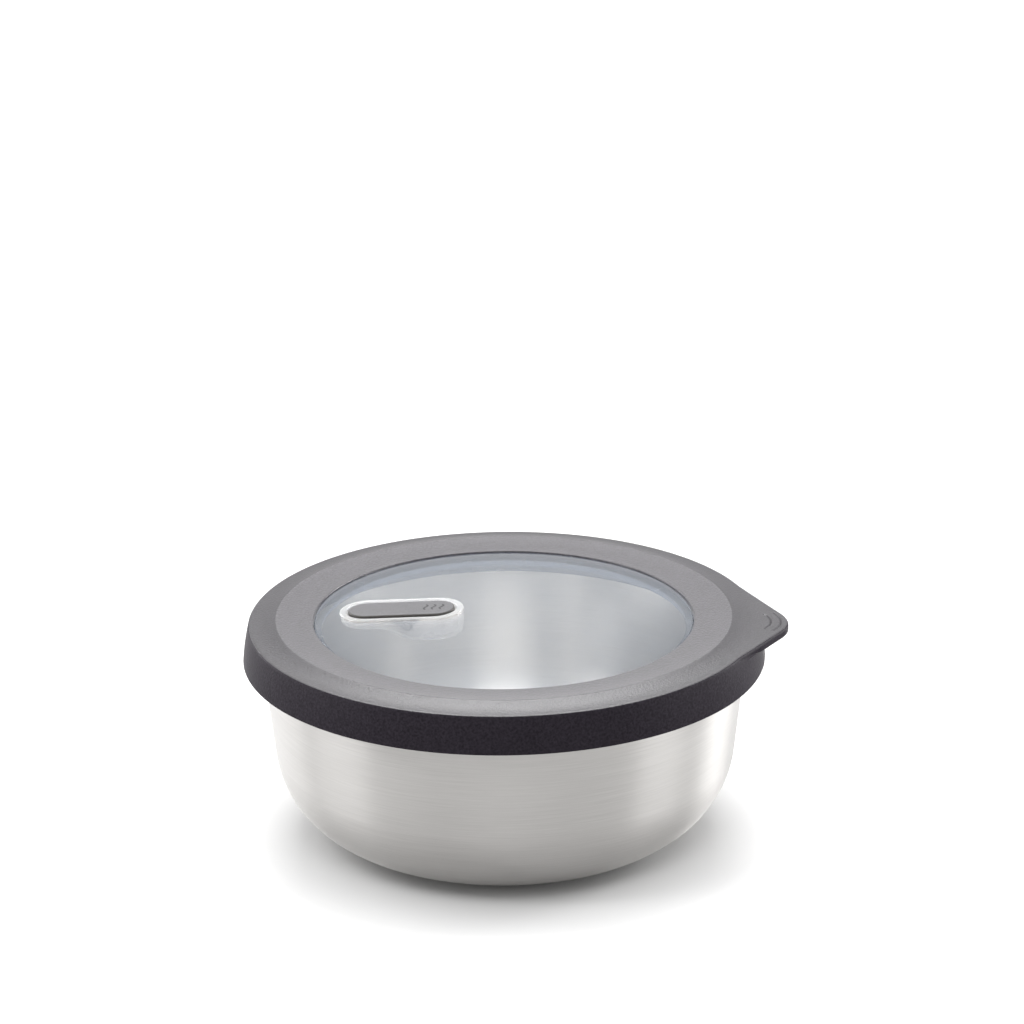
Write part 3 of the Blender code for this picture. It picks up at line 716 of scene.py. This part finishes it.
def make_pane(clear, step_painted_shade, lip_inner):
    """Clear lid plate: domed pane, step, flange and locating rib, open where the vent sits."""
    rib_outer = lip_inner - CLEARANCE
    rib_inner = rib_outer - RIB_WIDTH
    rib_bottom = FLANGE_BOTTOM - RIB_DEPTH
    rings = np.linspace(0, WINDOW_RADIUS - 2 * PANE_ROUND, PANE_STEPS + 1)
    inner_rings = np.linspace(STEP_INNER - 2 * PANE_ROUND, 0, PANE_STEPS + 1)
    corners = [
        (rings[-1], dome_height(rings[-1]), 0),
        (WINDOW_RADIUS, PANE_EDGE_HEIGHT, PANE_ROUND),
        (WINDOW_RADIUS, FLANGE_TOP, PLATE_FILLET),
        (FLANGE_RADIUS, FLANGE_TOP, FLANGE_ROUND),
        (FLANGE_RADIUS, FLANGE_BOTTOM, FLANGE_ROUND),
        (rib_outer, FLANGE_BOTTOM, PLATE_FILLET),
        (rib_outer, rib_bottom, RIB_ROUND),
        (rib_inner, rib_bottom, RIB_ROUND),
        (rib_inner, FLANGE_BOTTOM, PLATE_FILLET),
        (STEP_INNER, FLANGE_BOTTOM, STEP_ROUND),
        (STEP_INNER, dome_height(STEP_INNER) - PANE_THICKNESS, STEP_FILLET),
        (inner_rings[0], dome_height(inner_rings[0]) - PANE_THICKNESS, 0),
    ]
    profile = [(radius, dome_height(radius)) for radius in rings[:-1]]
    profile += filleted(corners, closed=False)
    profile += [(radius, dome_height(radius) - PANE_THICKNESS) for radius in inner_rings[1:]]
    pane = turned("lid_pane", profile, False)
    hole = stadium(TROUGH_LENGTH - 2 * CLEARANCE, TROUGH_WIDTH - 2 * CLEARANCE)
    carve(pane, "DIFFERENCE", prism("pane_hole", hole, -DEEP_DEPTH, DEEP_DEPTH, VENT))
    dress(pane, [clear, step_painted_shade], "lid", "window_plastic", "lid_window")

    def below_the_pane(face):
        """Whether a face is on the step, the flange or the rib."""
        return math.hypot(*face.center.xy) > STEP_INNER - PANE_ROUND and face.center.z < FLANGE_TOP

    # Painted shade: the step, flange and rib under the ring get a dark bluish copy of the milky plastic
    other_finish(pane, 1, below_the_pane)


def trough_row(length, width, height):
    """One closed row of the trough: a stadium whose height may follow the ramp."""
    return [(x, y, height(x)) for x, y in stadium(length, width)]


def make_trough(milky, white):
    """Milky pocket of the vent: stepped floor with round edges, walls and a rounded collar."""

    def underside(lift):
        """Height that follows the trough's underside, lifted."""
        return lambda x: COLLAR_HEIGHT - trough_depth(x) + lift

    def level(height):
        """The same height all along."""
        return lambda x: height

    def outer(inset, height):
        """Row of the trough's outside."""
        return trough_row(TROUGH_LENGTH - 2 * inset, TROUGH_WIDTH - 2 * inset, height)

    def inner(inset, height):
        """Row of the trough's inside."""
        return trough_row(TROUGH_INNER_LENGTH - 2 * inset, TROUGH_INNER_WIDTH - 2 * inset, height)

    rows = [outer(TROUGH_WIDTH / 2 * share, underside(0)) for share in FLOOR_SHARES]
    for turn in QUARTER:
        inset = TROUGH_DRAFT + TROUGH_ROUND * (1 - math.sin(turn))
        rows.append(outer(inset, underside(TROUGH_ROUND * (1 - math.cos(turn)))))
    rows.append(outer(0, level(0.0)))
    for turn in QUARTER:
        height = COLLAR_HEIGHT - COLLAR_ROUND * (1 - math.sin(turn))
        rows.append(outer(COLLAR_ROUND * (1 - math.cos(turn)), level(height)))
    for turn in QUARTER:
        height = COLLAR_HEIGHT - COLLAR_ROUND * (1 - math.cos(turn))
        rows.append(inner(COLLAR_ROUND * (math.sin(turn) - 1), level(height)))
    for turn in QUARTER:
        inset = TROUGH_ROUND / 2 * (1 - math.cos(turn))
        lift = TROUGH_FLOOR + TROUGH_ROUND / 2 * (1 - math.sin(turn))
        rows.append(inner(inset, underside(lift)))
    for share in reversed(FLOOR_SHARES):
        rows.append(inner(TROUGH_INNER_WIDTH / 2 * share, underside(TROUGH_FLOOR)))
    trough = mesh_object("vent_trough", fill_ends(loft(rows, False, True, VENT)))
    hole = rod("vent_hole", VENT_HOLE_RADIUS, 3 * TROUGH_FLOOR, vent_place(PLUG_X, SHALLOW_FLOOR))
    sockets = rod("pin_sockets", PIN_RADIUS + CLEARANCE, PIN_LENGTH + 2 * CLEARANCE, PIVOT_PLACE)
    carve(trough, "DIFFERENCE", hole, sockets)
    dress(trough, [milky, white], "lid", "window_plastic", "lid_window")
    collar_foot = COLLAR_HEIGHT - COLLAR_ROUND
    other_finish(trough, 1, lambda face: vent_height(face) > collar_foot)


def tab_reach(turn):
    """Radius of the ring's outline at a turn from the tab's middle."""
    turn = abs(math.remainder(turn, 2 * math.pi))
    root = EDGE_RADIUS - TAB_ROOT
    flank = math.acos((root - TAB_TIP_RADIUS) / TAB_CENTRE)
    tip_turn = math.atan2(
        TAB_TIP_RADIUS * math.sin(flank), TAB_CENTRE + TAB_TIP_RADIUS * math.cos(flank)
    )
    if turn < tip_turn:
        side = TAB_CENTRE * math.sin(turn)
        return TAB_CENTRE * math.cos(turn) + math.sqrt(TAB_TIP_RADIUS**2 - side**2)
    if turn < flank:
        return max(root / math.cos(flank - turn), EDGE_RADIUS)
    return EDGE_RADIUS


def groove_depth(x, y):
    """Depth of the grip grooves at a point of the tab."""
    depth = 0.0
    turn = math.atan2(y, x - TAB_CENTRE)
    for inset in GROOVE_INSETS:
        radius = TAB_TIP_RADIUS - inset
        nearest = min(max(turn, -GROOVE_REACH), GROOVE_REACH)
        gap = math.hypot(
            x - TAB_CENTRE - radius * math.cos(nearest), y - radius * math.sin(nearest)
        )
        share = min(gap / GROOVE_HALF_WIDTH, 1.0)
        depth += GROOVE_DEPTH * (0.5 + 0.5 * math.cos(math.pi * share))
    return depth


def dish_height(radius):
    """Height of the ring's outer zone, which runs out flat along the tab."""
    start = RIDGE_RADIUS
    end = EDGE_RADIUS - EDGE_ROUND
    share = min((radius - start) / (end - start), 1.0)
    height = RIDGE_HEIGHT - EDGE_DROP * share - 4 * DISH_DEPTH * share * (1 - share)
    if radius > end:
        slope = (EDGE_DROP - 4 * DISH_DEPTH) / (end - start)
        height -= TAB_STEP * (1 - math.exp(-(radius - end) * slope / TAB_STEP))
    return height


def ring_top(radius):
    """Height of the ring's top: a faint hollow up to the ridge, the softened ridge and the dish."""
    soften = RIDGE_SOFT_DEPTH * max(1 - abs(radius - RIDGE_RADIUS) / RIDGE_SOFT_WIDTH, 0.0) ** 2
    if radius > RIDGE_RADIUS:
        return dish_height(radius) - soften
    share = (radius - OPENING_RADIUS - INNER_ROUND) / (RIDGE_RADIUS - OPENING_RADIUS - INNER_ROUND)
    return RING_INNER_TOP + RIDGE_RISE * (share + share**2) / 2 - soften


def ring_section(turn):
    """Closed section of the ring at a turn from the tab: (radius, height) points."""
    tab = tab_reach(turn)
    share = float(smooth((tab - EDGE_RADIUS) / TAB_BLEND))
    reach = max(tab, skirt_outer(EDGE_HEIGHT - EDGE_ROUND))
    points = [(OPENING_RADIUS, RING_UNDERSIDE)]
    inner_centre = (OPENING_RADIUS + INNER_ROUND, RING_INNER_TOP - INNER_ROUND)
    points += arc(inner_centre, INNER_ROUND, math.pi, math.pi / 2, INNER_ROUND_STEPS)
    ridge_start = RIDGE_RADIUS - RIDGE_SOFT_WIDTH
    ridge_end = RIDGE_RADIUS + RIDGE_SOFT_WIDTH
    run_start = EDGE_RADIUS - TAB_RUN
    zones = [
        (inner_centre[0], ridge_start, INNER_ZONE_STEPS),
        (ridge_start, ridge_end, RIDGE_STEPS),
        (ridge_end, run_start, OUTER_ZONE_STEPS),
    ]
    for start, end, count in zones:
        points += [(radius, ring_top(radius)) for radius in np.linspace(start, end, count + 1)[1:]]
    points.pop()
    for radius in np.linspace(run_start, reach - EDGE_ROUND, TAB_RUN_STEPS + 1)[:-1]:
        groove = groove_depth(radius * math.cos(turn), radius * math.sin(turn))
        points.append((radius, dish_height(radius) - groove))
    edge_top = dish_height(reach - EDGE_ROUND)
    edge_centre = (reach - EDGE_ROUND, edge_top - EDGE_ROUND)
    points += arc(edge_centre, EDGE_ROUND, math.pi / 2, 0.0, EDGE_STEPS)
    points += side_path(reach, edge_top, share)
    return points + skirt_inside()


def side_path(reach, edge_top, share):
    """From the top edge down: round the tab where there is one, and then down the skirt."""
    top = edge_top - EDGE_ROUND
    under = edge_top - TAB_THICKNESS
    join = under - TAB_FILLET
    overhang = max(reach - skirt_outer(join), 0.0)
    scale = min(overhang / (TAB_ROUND + TAB_FILLET), 1.0)
    corner = TAB_ROUND * scale
    fillet = TAB_FILLET * scale
    foot = skirt_outer(under - fillet)
    tab = [(reach, z) for z in np.linspace(top, under + corner, TAB_SIDE_STEPS + 1)[1:-1]]
    tab += arc((reach - corner, under + corner), corner, 0.0, -math.pi / 2, EDGE_STEPS)
    underside = np.linspace(reach - corner, foot + fillet, TAB_UNDERSIDE_STEPS + 1)
    tab += [(r, under) for r in underside[1:-1]]
    tab += arc((foot + fillet, under - fillet), fillet, math.pi / 2, math.pi, TAB_FILLET_STEPS)
    tab.append((skirt_outer(join), join))
    tab = [(max(r, skirt_outer(z)), z) for r, z in tab]
    plain = [(skirt_outer(z), z) for z in np.linspace(top, join, len(tab) + 1)[1:]]
    path = [
        (a[0] + (b[0] - a[0]) * share, a[1] + (b[1] - a[1]) * share)
        for a, b in zip(plain, tab)
    ]
    skirt = np.linspace(join, SKIRT_BOTTOM + SKIRT_ROUND, SKIRT_STEPS + 1)
    return path + [(skirt_outer(z), z) for z in skirt[1:]]


def skirt_inside():
    """From the skirt's bottom edge up its inner face, over the snap bead, to the flange's recess."""
    snap = SKIRT_BOTTOM + SNAP_RISE
    recess = FLANGE_RADIUS + CLEARANCE
    down = -math.pi / 2
    outer_centre = (skirt_outer(SKIRT_BOTTOM) - SKIRT_ROUND, SKIRT_BOTTOM + SKIRT_ROUND)
    inner_centre = (skirt_inner(SKIRT_BOTTOM) + SKIRT_ROUND, SKIRT_BOTTOM + SKIRT_ROUND)
    points = arc(outer_centre, SKIRT_ROUND, 0.0, down, EDGE_STEPS)[1:]
    points += arc(inner_centre, SKIRT_ROUND, down, -math.pi, EDGE_STEPS)
    bead_depth = skirt_inner(snap) - SNAP_RADIUS
    for step in np.linspace(-1, 1, SNAP_STEPS + 1):
        height = snap + step * SNAP_WIDTH
        points.append((skirt_inner(height) - bead_depth * math.cos(step * math.pi / 2), height))
    above = np.linspace(snap + SNAP_WIDTH, FLANGE_BOTTOM, SKIRT_INNER_STEPS + 1)
    points += [(skirt_inner(z), z) for z in above[1:]]
    points += [(recess, FLANGE_BOTTOM), (recess, RING_UNDERSIDE)]
    return points


def make_ring(inner, outer, side):
    """Soft ring with its skirt and the pull tab that grows out of its edge."""
    at_tab = np.linspace(-TAB_HALF_TURN, TAB_HALF_TURN, TAB_ROWS + 1)
    elsewhere = np.linspace(TAB_HALF_TURN, 2 * math.pi - TAB_HALF_TURN, OTHER_ROWS + 1)[1:-1]
    rows = []
    for turn in np.concatenate((at_tab, elsewhere)):
        section = ring_section(turn)
        rows.append([(r * math.cos(turn), r * math.sin(turn), z) for r, z in section])
    ring = mesh_object("ring_cover", loft(rows, True, True), RING_SHARP)
    dress(ring, [inner, outer, side], "lid", "ring_rubber", "lid_ring")

    def outside_the_ridge(face):
        """Whether a face is on the outer zone, the tab or the skirt."""
        return math.hypot(*face.center.xy) > RIDGE_RADIUS

    def on_the_skirt(face):
        """Whether a face is on the skirt or the tab's edge. The grooves' flanks count as top."""
        steepest = 0.0 if groove_depth(*face.center.xy) else STEEP
        return outside_the_ridge(face) and face.normal.z < steepest

    # Painted shade: the outer zone, the tab and the skirt get darker copies of the inner zone's rubber
    other_finish(ring, 1, outside_the_ridge)
    other_finish(ring, 2, on_the_skirt)


def keel_outline():
    """V with a rounded nose below the pivot, its top run into the button."""
    shoulder = PIVOT_DROP
    top = shoulder + BUTTON_THICKNESS / 2
    rise = KEEL_DEPTH - KEEL_NOSE_RADIUS

    def touch(reach):
        """Angle at which a flank from the button's underside touches the nose."""
        return math.atan2(rise, reach) - math.acos(KEEL_NOSE_RADIUS / math.hypot(reach, rise))

    start = -math.pi - touch(KEEL_OUTER)
    nose = arc((0.0, shoulder - rise), KEEL_NOSE_RADIUS, start, touch(KEEL_INNER), NOSE_STEPS)
    return nose + [
        (KEEL_INNER, shoulder),
        (KEEL_INNER, top),
        (-KEEL_OUTER, top),
        (-KEEL_OUTER, shoulder),
    ]


def make_rocker(face_grey, side_painted_shade, keel_painted_shade):
    """Rocker with a pale face and a faint crown; its edge, and its keel and hub in a bluish tone, are
    darker as painted shade.
    """

    def row(inset, height):
        """Row of the button at a height."""
        outline = stadium(BUTTON_LENGTH - 2 * inset, BUTTON_WIDTH - 2 * inset)
        return [(x, y, height) for x, y in outline]

    rows = [row(BUTTON_WIDTH / 2 * share, BUTTON_UNDERSIDE) for share in UNDERSIDE_SHARES]
    for turn in QUARTER:
        inset = BUTTON_ROUND / 2 * (1 - math.sin(turn))
        rows.append(row(inset, BUTTON_UNDERSIDE + BUTTON_ROUND / 2 * (1 - math.cos(turn))))
    for turn in QUARTER:
        inset = BUTTON_ROUND * (1 - math.cos(turn))
        rows.append(row(inset, CROWN_BASE - BUTTON_ROUND * (1 - math.sin(turn))))
    flat = BUTTON_WIDTH / 2 - BUTTON_ROUND
    for share in np.linspace(0, 1, CROWN_STEPS + 1)[1:]:
        inset = BUTTON_ROUND + flat * min(share, NEARLY_ALL)
        rows.append(row(inset, CROWN_BASE + BUTTON_CROWN * (1 - (1 - share) ** 2)))
    rocker = mesh_object("rocker_button", fill_ends(loft(rows, False, True, VENT)))
    half = BUTTON_WIDTH / 2 - KEEL_INSET
    keel = prism("rocker_keel", keel_outline(), -half, half, PIVOT_PLACE)
    hub_length = TROUGH_INNER_WIDTH - 2 * CLEARANCE
    bore_radius = PIN_RADIUS + CLEARANCE
    hub = rod("rocker_hub", bore_radius + HUB_WALL, hub_length, PIVOT_PLACE)
    carve(rocker, "UNION", keel, hub)
    bore = rod("rocker_bore", bore_radius, 2 * hub_length, PIVOT_PLACE)
    stem_depth = PLUG_STEM_LENGTH + CLEARANCE
    stem_place = vent_place(PLUG_X, BUTTON_UNDERSIDE)
    stem_hole = rod("stem_hole", PLUG_STEM_RADIUS + CLEARANCE, 2 * stem_depth, stem_place)
    carve(rocker, "DIFFERENCE", bore, stem_hole)
    dress(rocker, [face_grey, side_painted_shade, keel_painted_shade], "rocker", "rocker_plastic", "vent_rocker")
    # Painted shade: the sides below the crown, and the keel and hub below the underside, get dark copies
    # of the button's plastic
    other_finish(rocker, 1, lambda face: vent_height(face) < CROWN_BASE - FACE_MARGIN)
    other_finish(rocker, 2, lambda face: vent_height(face) < BUTTON_UNDERSIDE - CLEARANCE)


def stroke_rows(x):
    """Rows along one wavy stroke, which is narrower at its ends and stands in the button's crown."""
    low = CROWN_BASE - INK_THICKNESS
    high = BUTTON_TOP + INK_THICKNESS
    steps = np.linspace(-1, 1, STROKE_STEPS + 1)
    line = [
        Vector((x + STROKE_SWAY * math.sin(step * math.pi), step * STROKE_HEIGHT / 2))
        for step in steps
    ]
    rows = []
    for index, (point, step) in enumerate(zip(line, steps)):
        along = (line[min(index + 1, STROKE_STEPS)] - line[max(index - 1, 0)]).normalized()
        taper = math.sqrt(max(1 - step**STROKE_TAPER, STROKE_END**2))
        across = Vector((along.y, -along.x)) * STROKE_HALF_WIDTH * taper
        left = point - across
        right = point + across
        rows.append([(*left, low), (*left, high), (*right, high), (*right, low)])
    return rows


def make_steam_mark(ink):
    """Three printed wavy strokes near the button's inner end, the common sign for steam."""
    shape = bmesh.new()
    for number in (-1, 0, 1):
        stroke = fill_ends(loft(stroke_rows(MARK_X + number * MARK_PITCH), False, True, VENT))
        mesh = bpy.data.meshes.new("stroke")
        stroke.to_mesh(mesh)
        shape.from_mesh(mesh)
        stroke.free()
        bpy.data.meshes.remove(mesh)
    mark = mesh_object("steam_mark", shape)
    dress(mark, [ink], "rocker", "rocker_plastic")


def make_plug(material):
    """Mushroom-shaped silicone plug under the rocker's outer end."""
    bottom = SHALLOW_FLOOR + CLEARANCE
    head_top = BUTTON_UNDERSIDE - CLEARANCE
    stem_top = BUTTON_UNDERSIDE + PLUG_STEM_LENGTH
    corners = [
        (0.0, stem_top, 0),
        (PLUG_STEM_RADIUS, stem_top, PLUG_STEM_ROUND),
        (PLUG_STEM_RADIUS, head_top, PLUG_STEM_ROUND),
        (PLUG_RADIUS, head_top, PLUG_ROUND),
        (PLUG_RADIUS, bottom, PLUG_ROUND),
        (0.0, bottom, 0),
    ]
    profile = filleted(corners, closed=False)
    plug = turned("plug_seal", profile, False, AROUND_SMALL, vent_place(PLUG_X, 0))
    dress(plug, [material], "rocker", "seal_silicone", "vent_plug")


def make_pin(steel):
    """Pin across the trough, with broken edges."""
    half = PIN_LENGTH / 2
    profile = [
        (0, half),
        (PIN_RADIUS - PIN_CHAMFER, half),
        (PIN_RADIUS, half - PIN_CHAMFER),
        (PIN_RADIUS, -half + PIN_CHAMFER),
        (PIN_RADIUS - PIN_CHAMFER, -half),
        (0, -half),
    ]
    pin = turned("pivot_pin", profile, False, AROUND_SMALL, PIVOT_PLACE)
    dress(pin, [steel], "rocker", "pin_steel", "vent_pivot_pin")


# Stage, light and camera

FRAME_PIXELS = 1024
FOCAL_PIXELS = 4000
SENSOR_WIDTH = 36.0  # in millimetres, as the camera takes it
CLIP_START = 10 * MM
LID_TURN = math.radians(3.4)  # the photograph's view is turned by this from square to the tab
CAMERA_DISTANCE = 1163.6 * MM  # from the middle of the skirt's bottom edge
CAMERA_RISE = math.radians(21.715)
CAMERA_PITCH = math.radians(19.693)
CAMERA_YAW = math.radians(0.096)
CAMERA_ROLL = math.radians(-0.586)
CAMERA_SIDE = 0.88 * MM
FLOOR_HALF = 4.0
PAINTED_SHADOW_SPAN = (52 * MM, 84 * MM)  # where the floor's near glow starts and is full, from the bowl's axis: inside it the floor keeps a painted shadow
GLOW_FAR = (300 * MM, 800 * MM)  # and its far glow
GLOW_IN_GLOSS = 0.36  # share of the floor's glow that gloss shows, so that the bowl mirrors a darker floor as painted shade


def place_camera():
    """Camera at the photograph's viewing angle."""
    ahead = Vector(
        (
            math.sin(CAMERA_YAW) * math.cos(CAMERA_PITCH),
            math.cos(CAMERA_YAW) * math.cos(CAMERA_PITCH),
            -math.sin(CAMERA_PITCH),
        )
    )
    level_right = ahead.cross(Vector((0, 0, 1))).normalized()
    level_up = level_right.cross(ahead)
    right = level_right * math.cos(CAMERA_ROLL) + level_up * math.sin(CAMERA_ROLL)
    up = level_up * math.cos(CAMERA_ROLL) - level_right * math.sin(CAMERA_ROLL)
    basis = Matrix((right, up, -ahead)).transposed().to_4x4()
    basis.translation = Vector(
        (
            CAMERA_SIDE,
            -CAMERA_DISTANCE * math.cos(CAMERA_RISE),
            CAMERA_DISTANCE * math.sin(CAMERA_RISE),
        )
    )
    data = bpy.data.cameras.new("photo_camera")
    data.sensor_width = SENSOR_WIDTH
    data.lens = FOCAL_PIXELS / FRAME_PIXELS * SENSOR_WIDTH
    data.clip_start = CLIP_START
    camera = bpy.data.objects.new("photo_camera", data)
    bpy.context.scene.collection.objects.link(camera)
    turn = Matrix.Translation((0, 0, SKIRT_BOTTOM)) @ Matrix.Rotation(LID_TURN, 4, "Z")
    camera.matrix_world = turn @ basis
    bpy.context.scene.camera = camera


def softbox(name, side, rise, distance, width, height, radiance):
    """Area lamp aimed at the lid. side is the turn from the camera's side, in degrees."""
    data = bpy.data.lights.new(name, "AREA")
    data.shape = "RECTANGLE"
    data.size = width
    data.size_y = height
    data.energy = radiance * math.pi * width * height
    lamp = bpy.data.objects.new(name, data)
    lamp.visible_camera = False
    bpy.context.scene.collection.objects.link(lamp)
    turn = math.radians(side - 90) + LID_TURN
    lift = math.radians(rise)
    direction = Vector(
        (math.cos(turn) * math.cos(lift), math.sin(turn) * math.cos(lift), math.sin(lift))
    )
    target = Vector((0, 0, SKIRT_BOTTOM))
    lamp.location = target + direction * distance
    lamp.rotation_euler = direction.to_track_quat("Z", "Y").to_euler()


def background_rays(tree, gloss=1.0):
    """1 for rays from the camera or through glass, and a share for rays off gloss."""
    path = node(tree, "ShaderNodeLightPath")
    off_gloss = math_node(tree, "MULTIPLY", path.outputs["Is Glossy Ray"], gloss)
    seen = math_node(tree, "MAXIMUM", path.outputs["Is Camera Ray"], off_gloss)
    return math_node(tree, "MAXIMUM", seen, path.outputs["Is Transmission Ray"])


def make_world(light_strength):
    """Even white surroundings: softer as light than as what the camera, gloss and glass see."""
    world = bpy.data.worlds.new("studio")
    bpy.context.scene.world = world
    world.use_nodes = True
    tree = world.node_tree
    background = tree.nodes["Background"]
    background.inputs["Color"].default_value = WHITE
    link(tree, spread(tree, background_rays(tree), light_strength, 1.0), background, "Strength")


def make_floor(albedo, near_glow, far_glow):
    """Wide pale floor. Background rays see it glow, from the bowl's foot outwards, which leaves a painted
    shadow round the foot.
    """
    shape = bmesh.new()
    bmesh.ops.create_grid(shape, x_segments=1, y_segments=1, size=FLOOR_HALF)
    floor = mesh_object("studio_floor", shape)
    grey = (albedo, albedo, albedo, 1)
    made, tree, shader = new_material(
        "floor_white", Base_Color=grey, Roughness=0.9, Specular_IOR_Level=0.0, Emission_Color=WHITE
    )
    radius = cylinder_place(tree)[-1]
    # Painted shadow: no glow near the bowl's foot, rising to full glow at the end of the span
    near = spread(tree, radius, 0.0, near_glow, *PAINTED_SHADOW_SPAN)
    far = spread(tree, radius, 0.0, far_glow, *GLOW_FAR)
    glow = math_node(tree, "ADD", near, far)
    seen = background_rays(tree, GLOW_IN_GLOSS)
    link(tree, math_node(tree, "MULTIPLY", seen, glow), shader, "Emission Strength")
    floor.data.materials.append(made)


def make_container():
    """Every piece of the container, with its materials."""
    bowl_outside = brushed_steel(
        "bowl_brushed",
        low=(0.398, 0.389, 0.378),
        high=(0.585, 0.573, 0.56),
        roughness=0.34,
        lines_per_metre=2800.0,
    )
    # Painted light: the bowl's inside is a lighter, warmer copy of the outside's steel, standing in for
    # the light and warm highlight it gets through the pane
    bowl_inside_painted_light = brushed_steel(
        "bowl_steel_painted_light",
        low=(0.58, 0.562, 0.532),
        high=(0.79, 0.768, 0.73),
        roughness=0.34,
        lines_per_metre=2200.0,
    )
    pin_steel = brushed_steel(
        "pin_drawn",
        low=(0.12, 0.12, 0.125),
        high=(0.2, 0.2, 0.205),
        roughness=0.4,
        lines_per_metre=4000.0,
    )
    # The ring's rubber in its lightest copy, inside the ridge; the two copies after it are darker as
    # painted shade
    ring_inner = grained(
        "ring_inner",
        low=(0.004, 0.003, 0.005),
        high=(0.066, 0.058, 0.074),
        roughness=0.38,
        grain=1500.0,
        relief=0.9,
        Specular_IOR_Level=0.7,
        Sheen_Weight=0.46,
        Sheen_Roughness=0.3,
    )
    # Painted shade: the outer zone and the tab get a darker copy of the ring's rubber, for the tonal step
    # at the ridge
    ring_outer_painted_shade = grained(
        "ring_outer_painted_shade",
        low=(0.002, 0.0015, 0.003),
        high=(0.042, 0.037, 0.047),
        roughness=0.38,
        grain=1500.0,
        relief=0.9,
        Specular_IOR_Level=0.7,
    )
    # Painted shade: the skirt and the tab's edge get a darker copy of the ring's rubber
    ring_side_painted_shade = grained(
        "ring_side_painted_shade",
        low=(0.0155, 0.013, 0.017),
        high=(0.0355, 0.0305, 0.039),
        roughness=0.4,
        grain=1500.0,
        relief=0.6,
        Specular_IOR_Level=0.03,
    )
    rocker_face = grained(
        "rocker_face",
        low=(0.07, 0.069, 0.074),
        high=(0.152, 0.149, 0.159),
        roughness=0.42,
        grain=2600.0,
        relief=0.3,
    )
    # Painted shade: a dark copy of the button's plastic for its sides in the gap
    rocker_side_painted_shade = grained(
        "rocker_side_painted_shade",
        low=(0.02, 0.018, 0.016),
        high=(0.045, 0.04, 0.036),
        roughness=0.5,
        grain=2600.0,
        relief=0.3,
    )
    # Painted shade: a dark bluish copy of the button's plastic for the keel and hub under the button
    rocker_keel = grained(
        "rocker_keel",
        low=(0.035, 0.045, 0.06),
        high=(0.05, 0.062, 0.08),
        roughness=0.5,
        grain=2600.0,
        relief=0.2,
    )
    ink = grained(
        "mark_ink",
        low=(0.02, 0.02, 0.021),
        high=(0.035, 0.035, 0.037),
        roughness=0.55,
        grain=3000.0,
        relief=0.1,
    )
    pane = see_through(
        "pane_clear",
        clear=(0.985, 0.988, 0.992),
        milk=(0.66, 0.76, 0.92),
        veil=0.11,
        roughness=0.1,
    )
    milky = see_through(
        "trough_milky",
        clear=(0.99, 0.985, 0.98),
        milk=(1.0, 0.985, 0.965),
        veil=0.24,
        roughness=0.12,
    )
    white = see_through(
        "collar_white",
        clear=(0.98, 0.985, 0.99),
        milk=(0.97, 0.972, 0.975),
        veil=0.44,
        roughness=0.12,
    )
    # Painted shade: a dark bluish copy of the window's milky plastic, for its parts under the ring
    step_painted_shade = see_through(
        "step_milk_painted_shade",
        clear=(0.93, 0.95, 0.98),
        milk=(0.32, 0.37, 0.46),
        veil=0.45,
        roughness=0.2,
    )
    seal = silicone("seal_white", low=(0.62, 0.64, 0.67), high=(0.70, 0.72, 0.74))
    make_bowl(bowl_outside, bowl_inside_painted_light)
    lip_inner = make_seal(seal)
    make_pane(pane, step_painted_shade, lip_inner)
    make_trough(milky, white)
    make_ring(ring_inner, ring_outer_painted_shade, ring_side_painted_shade)
    make_rocker(rocker_face, rocker_side_painted_shade, rocker_keel)
    make_steam_mark(ink)
    make_plug(seal)
    make_pin(pin_steel)


def make_studio():
    """Floor, surroundings, lamps and camera."""
    make_floor(albedo=0.55, near_glow=0.55, far_glow=0.2)
    make_world(light_strength=0.25)
    softbox("back", side=180, rise=56, distance=1.4, width=0.9, height=0.6, radiance=9.0)
    softbox("top", side=180, rise=84, distance=1.3, width=0.8, height=0.5, radiance=1.5)
    softbox("front", side=0, rise=50, distance=1.4, width=0.6, height=0.5, radiance=4.9)
    softbox("front_left", side=-60, rise=45, distance=1.4, width=0.2, height=0.5, radiance=16.0)
    softbox("left", side=-122, rise=8, distance=0.9, width=0.6, height=0.6, radiance=6.2)
    softbox("right", side=115, rise=8, distance=0.9, width=0.3, height=0.6, radiance=17.0)
    softbox("left_low", side=-80, rise=6, distance=1.1, width=0.6, height=0.4, radiance=6.4)
    softbox("right_low", side=75, rise=6, distance=1.1, width=0.5, height=0.4, radiance=6.5)
    place_camera()
    bpy.context.scene.view_settings.view_transform = "Standard"


make_container()
make_studio()
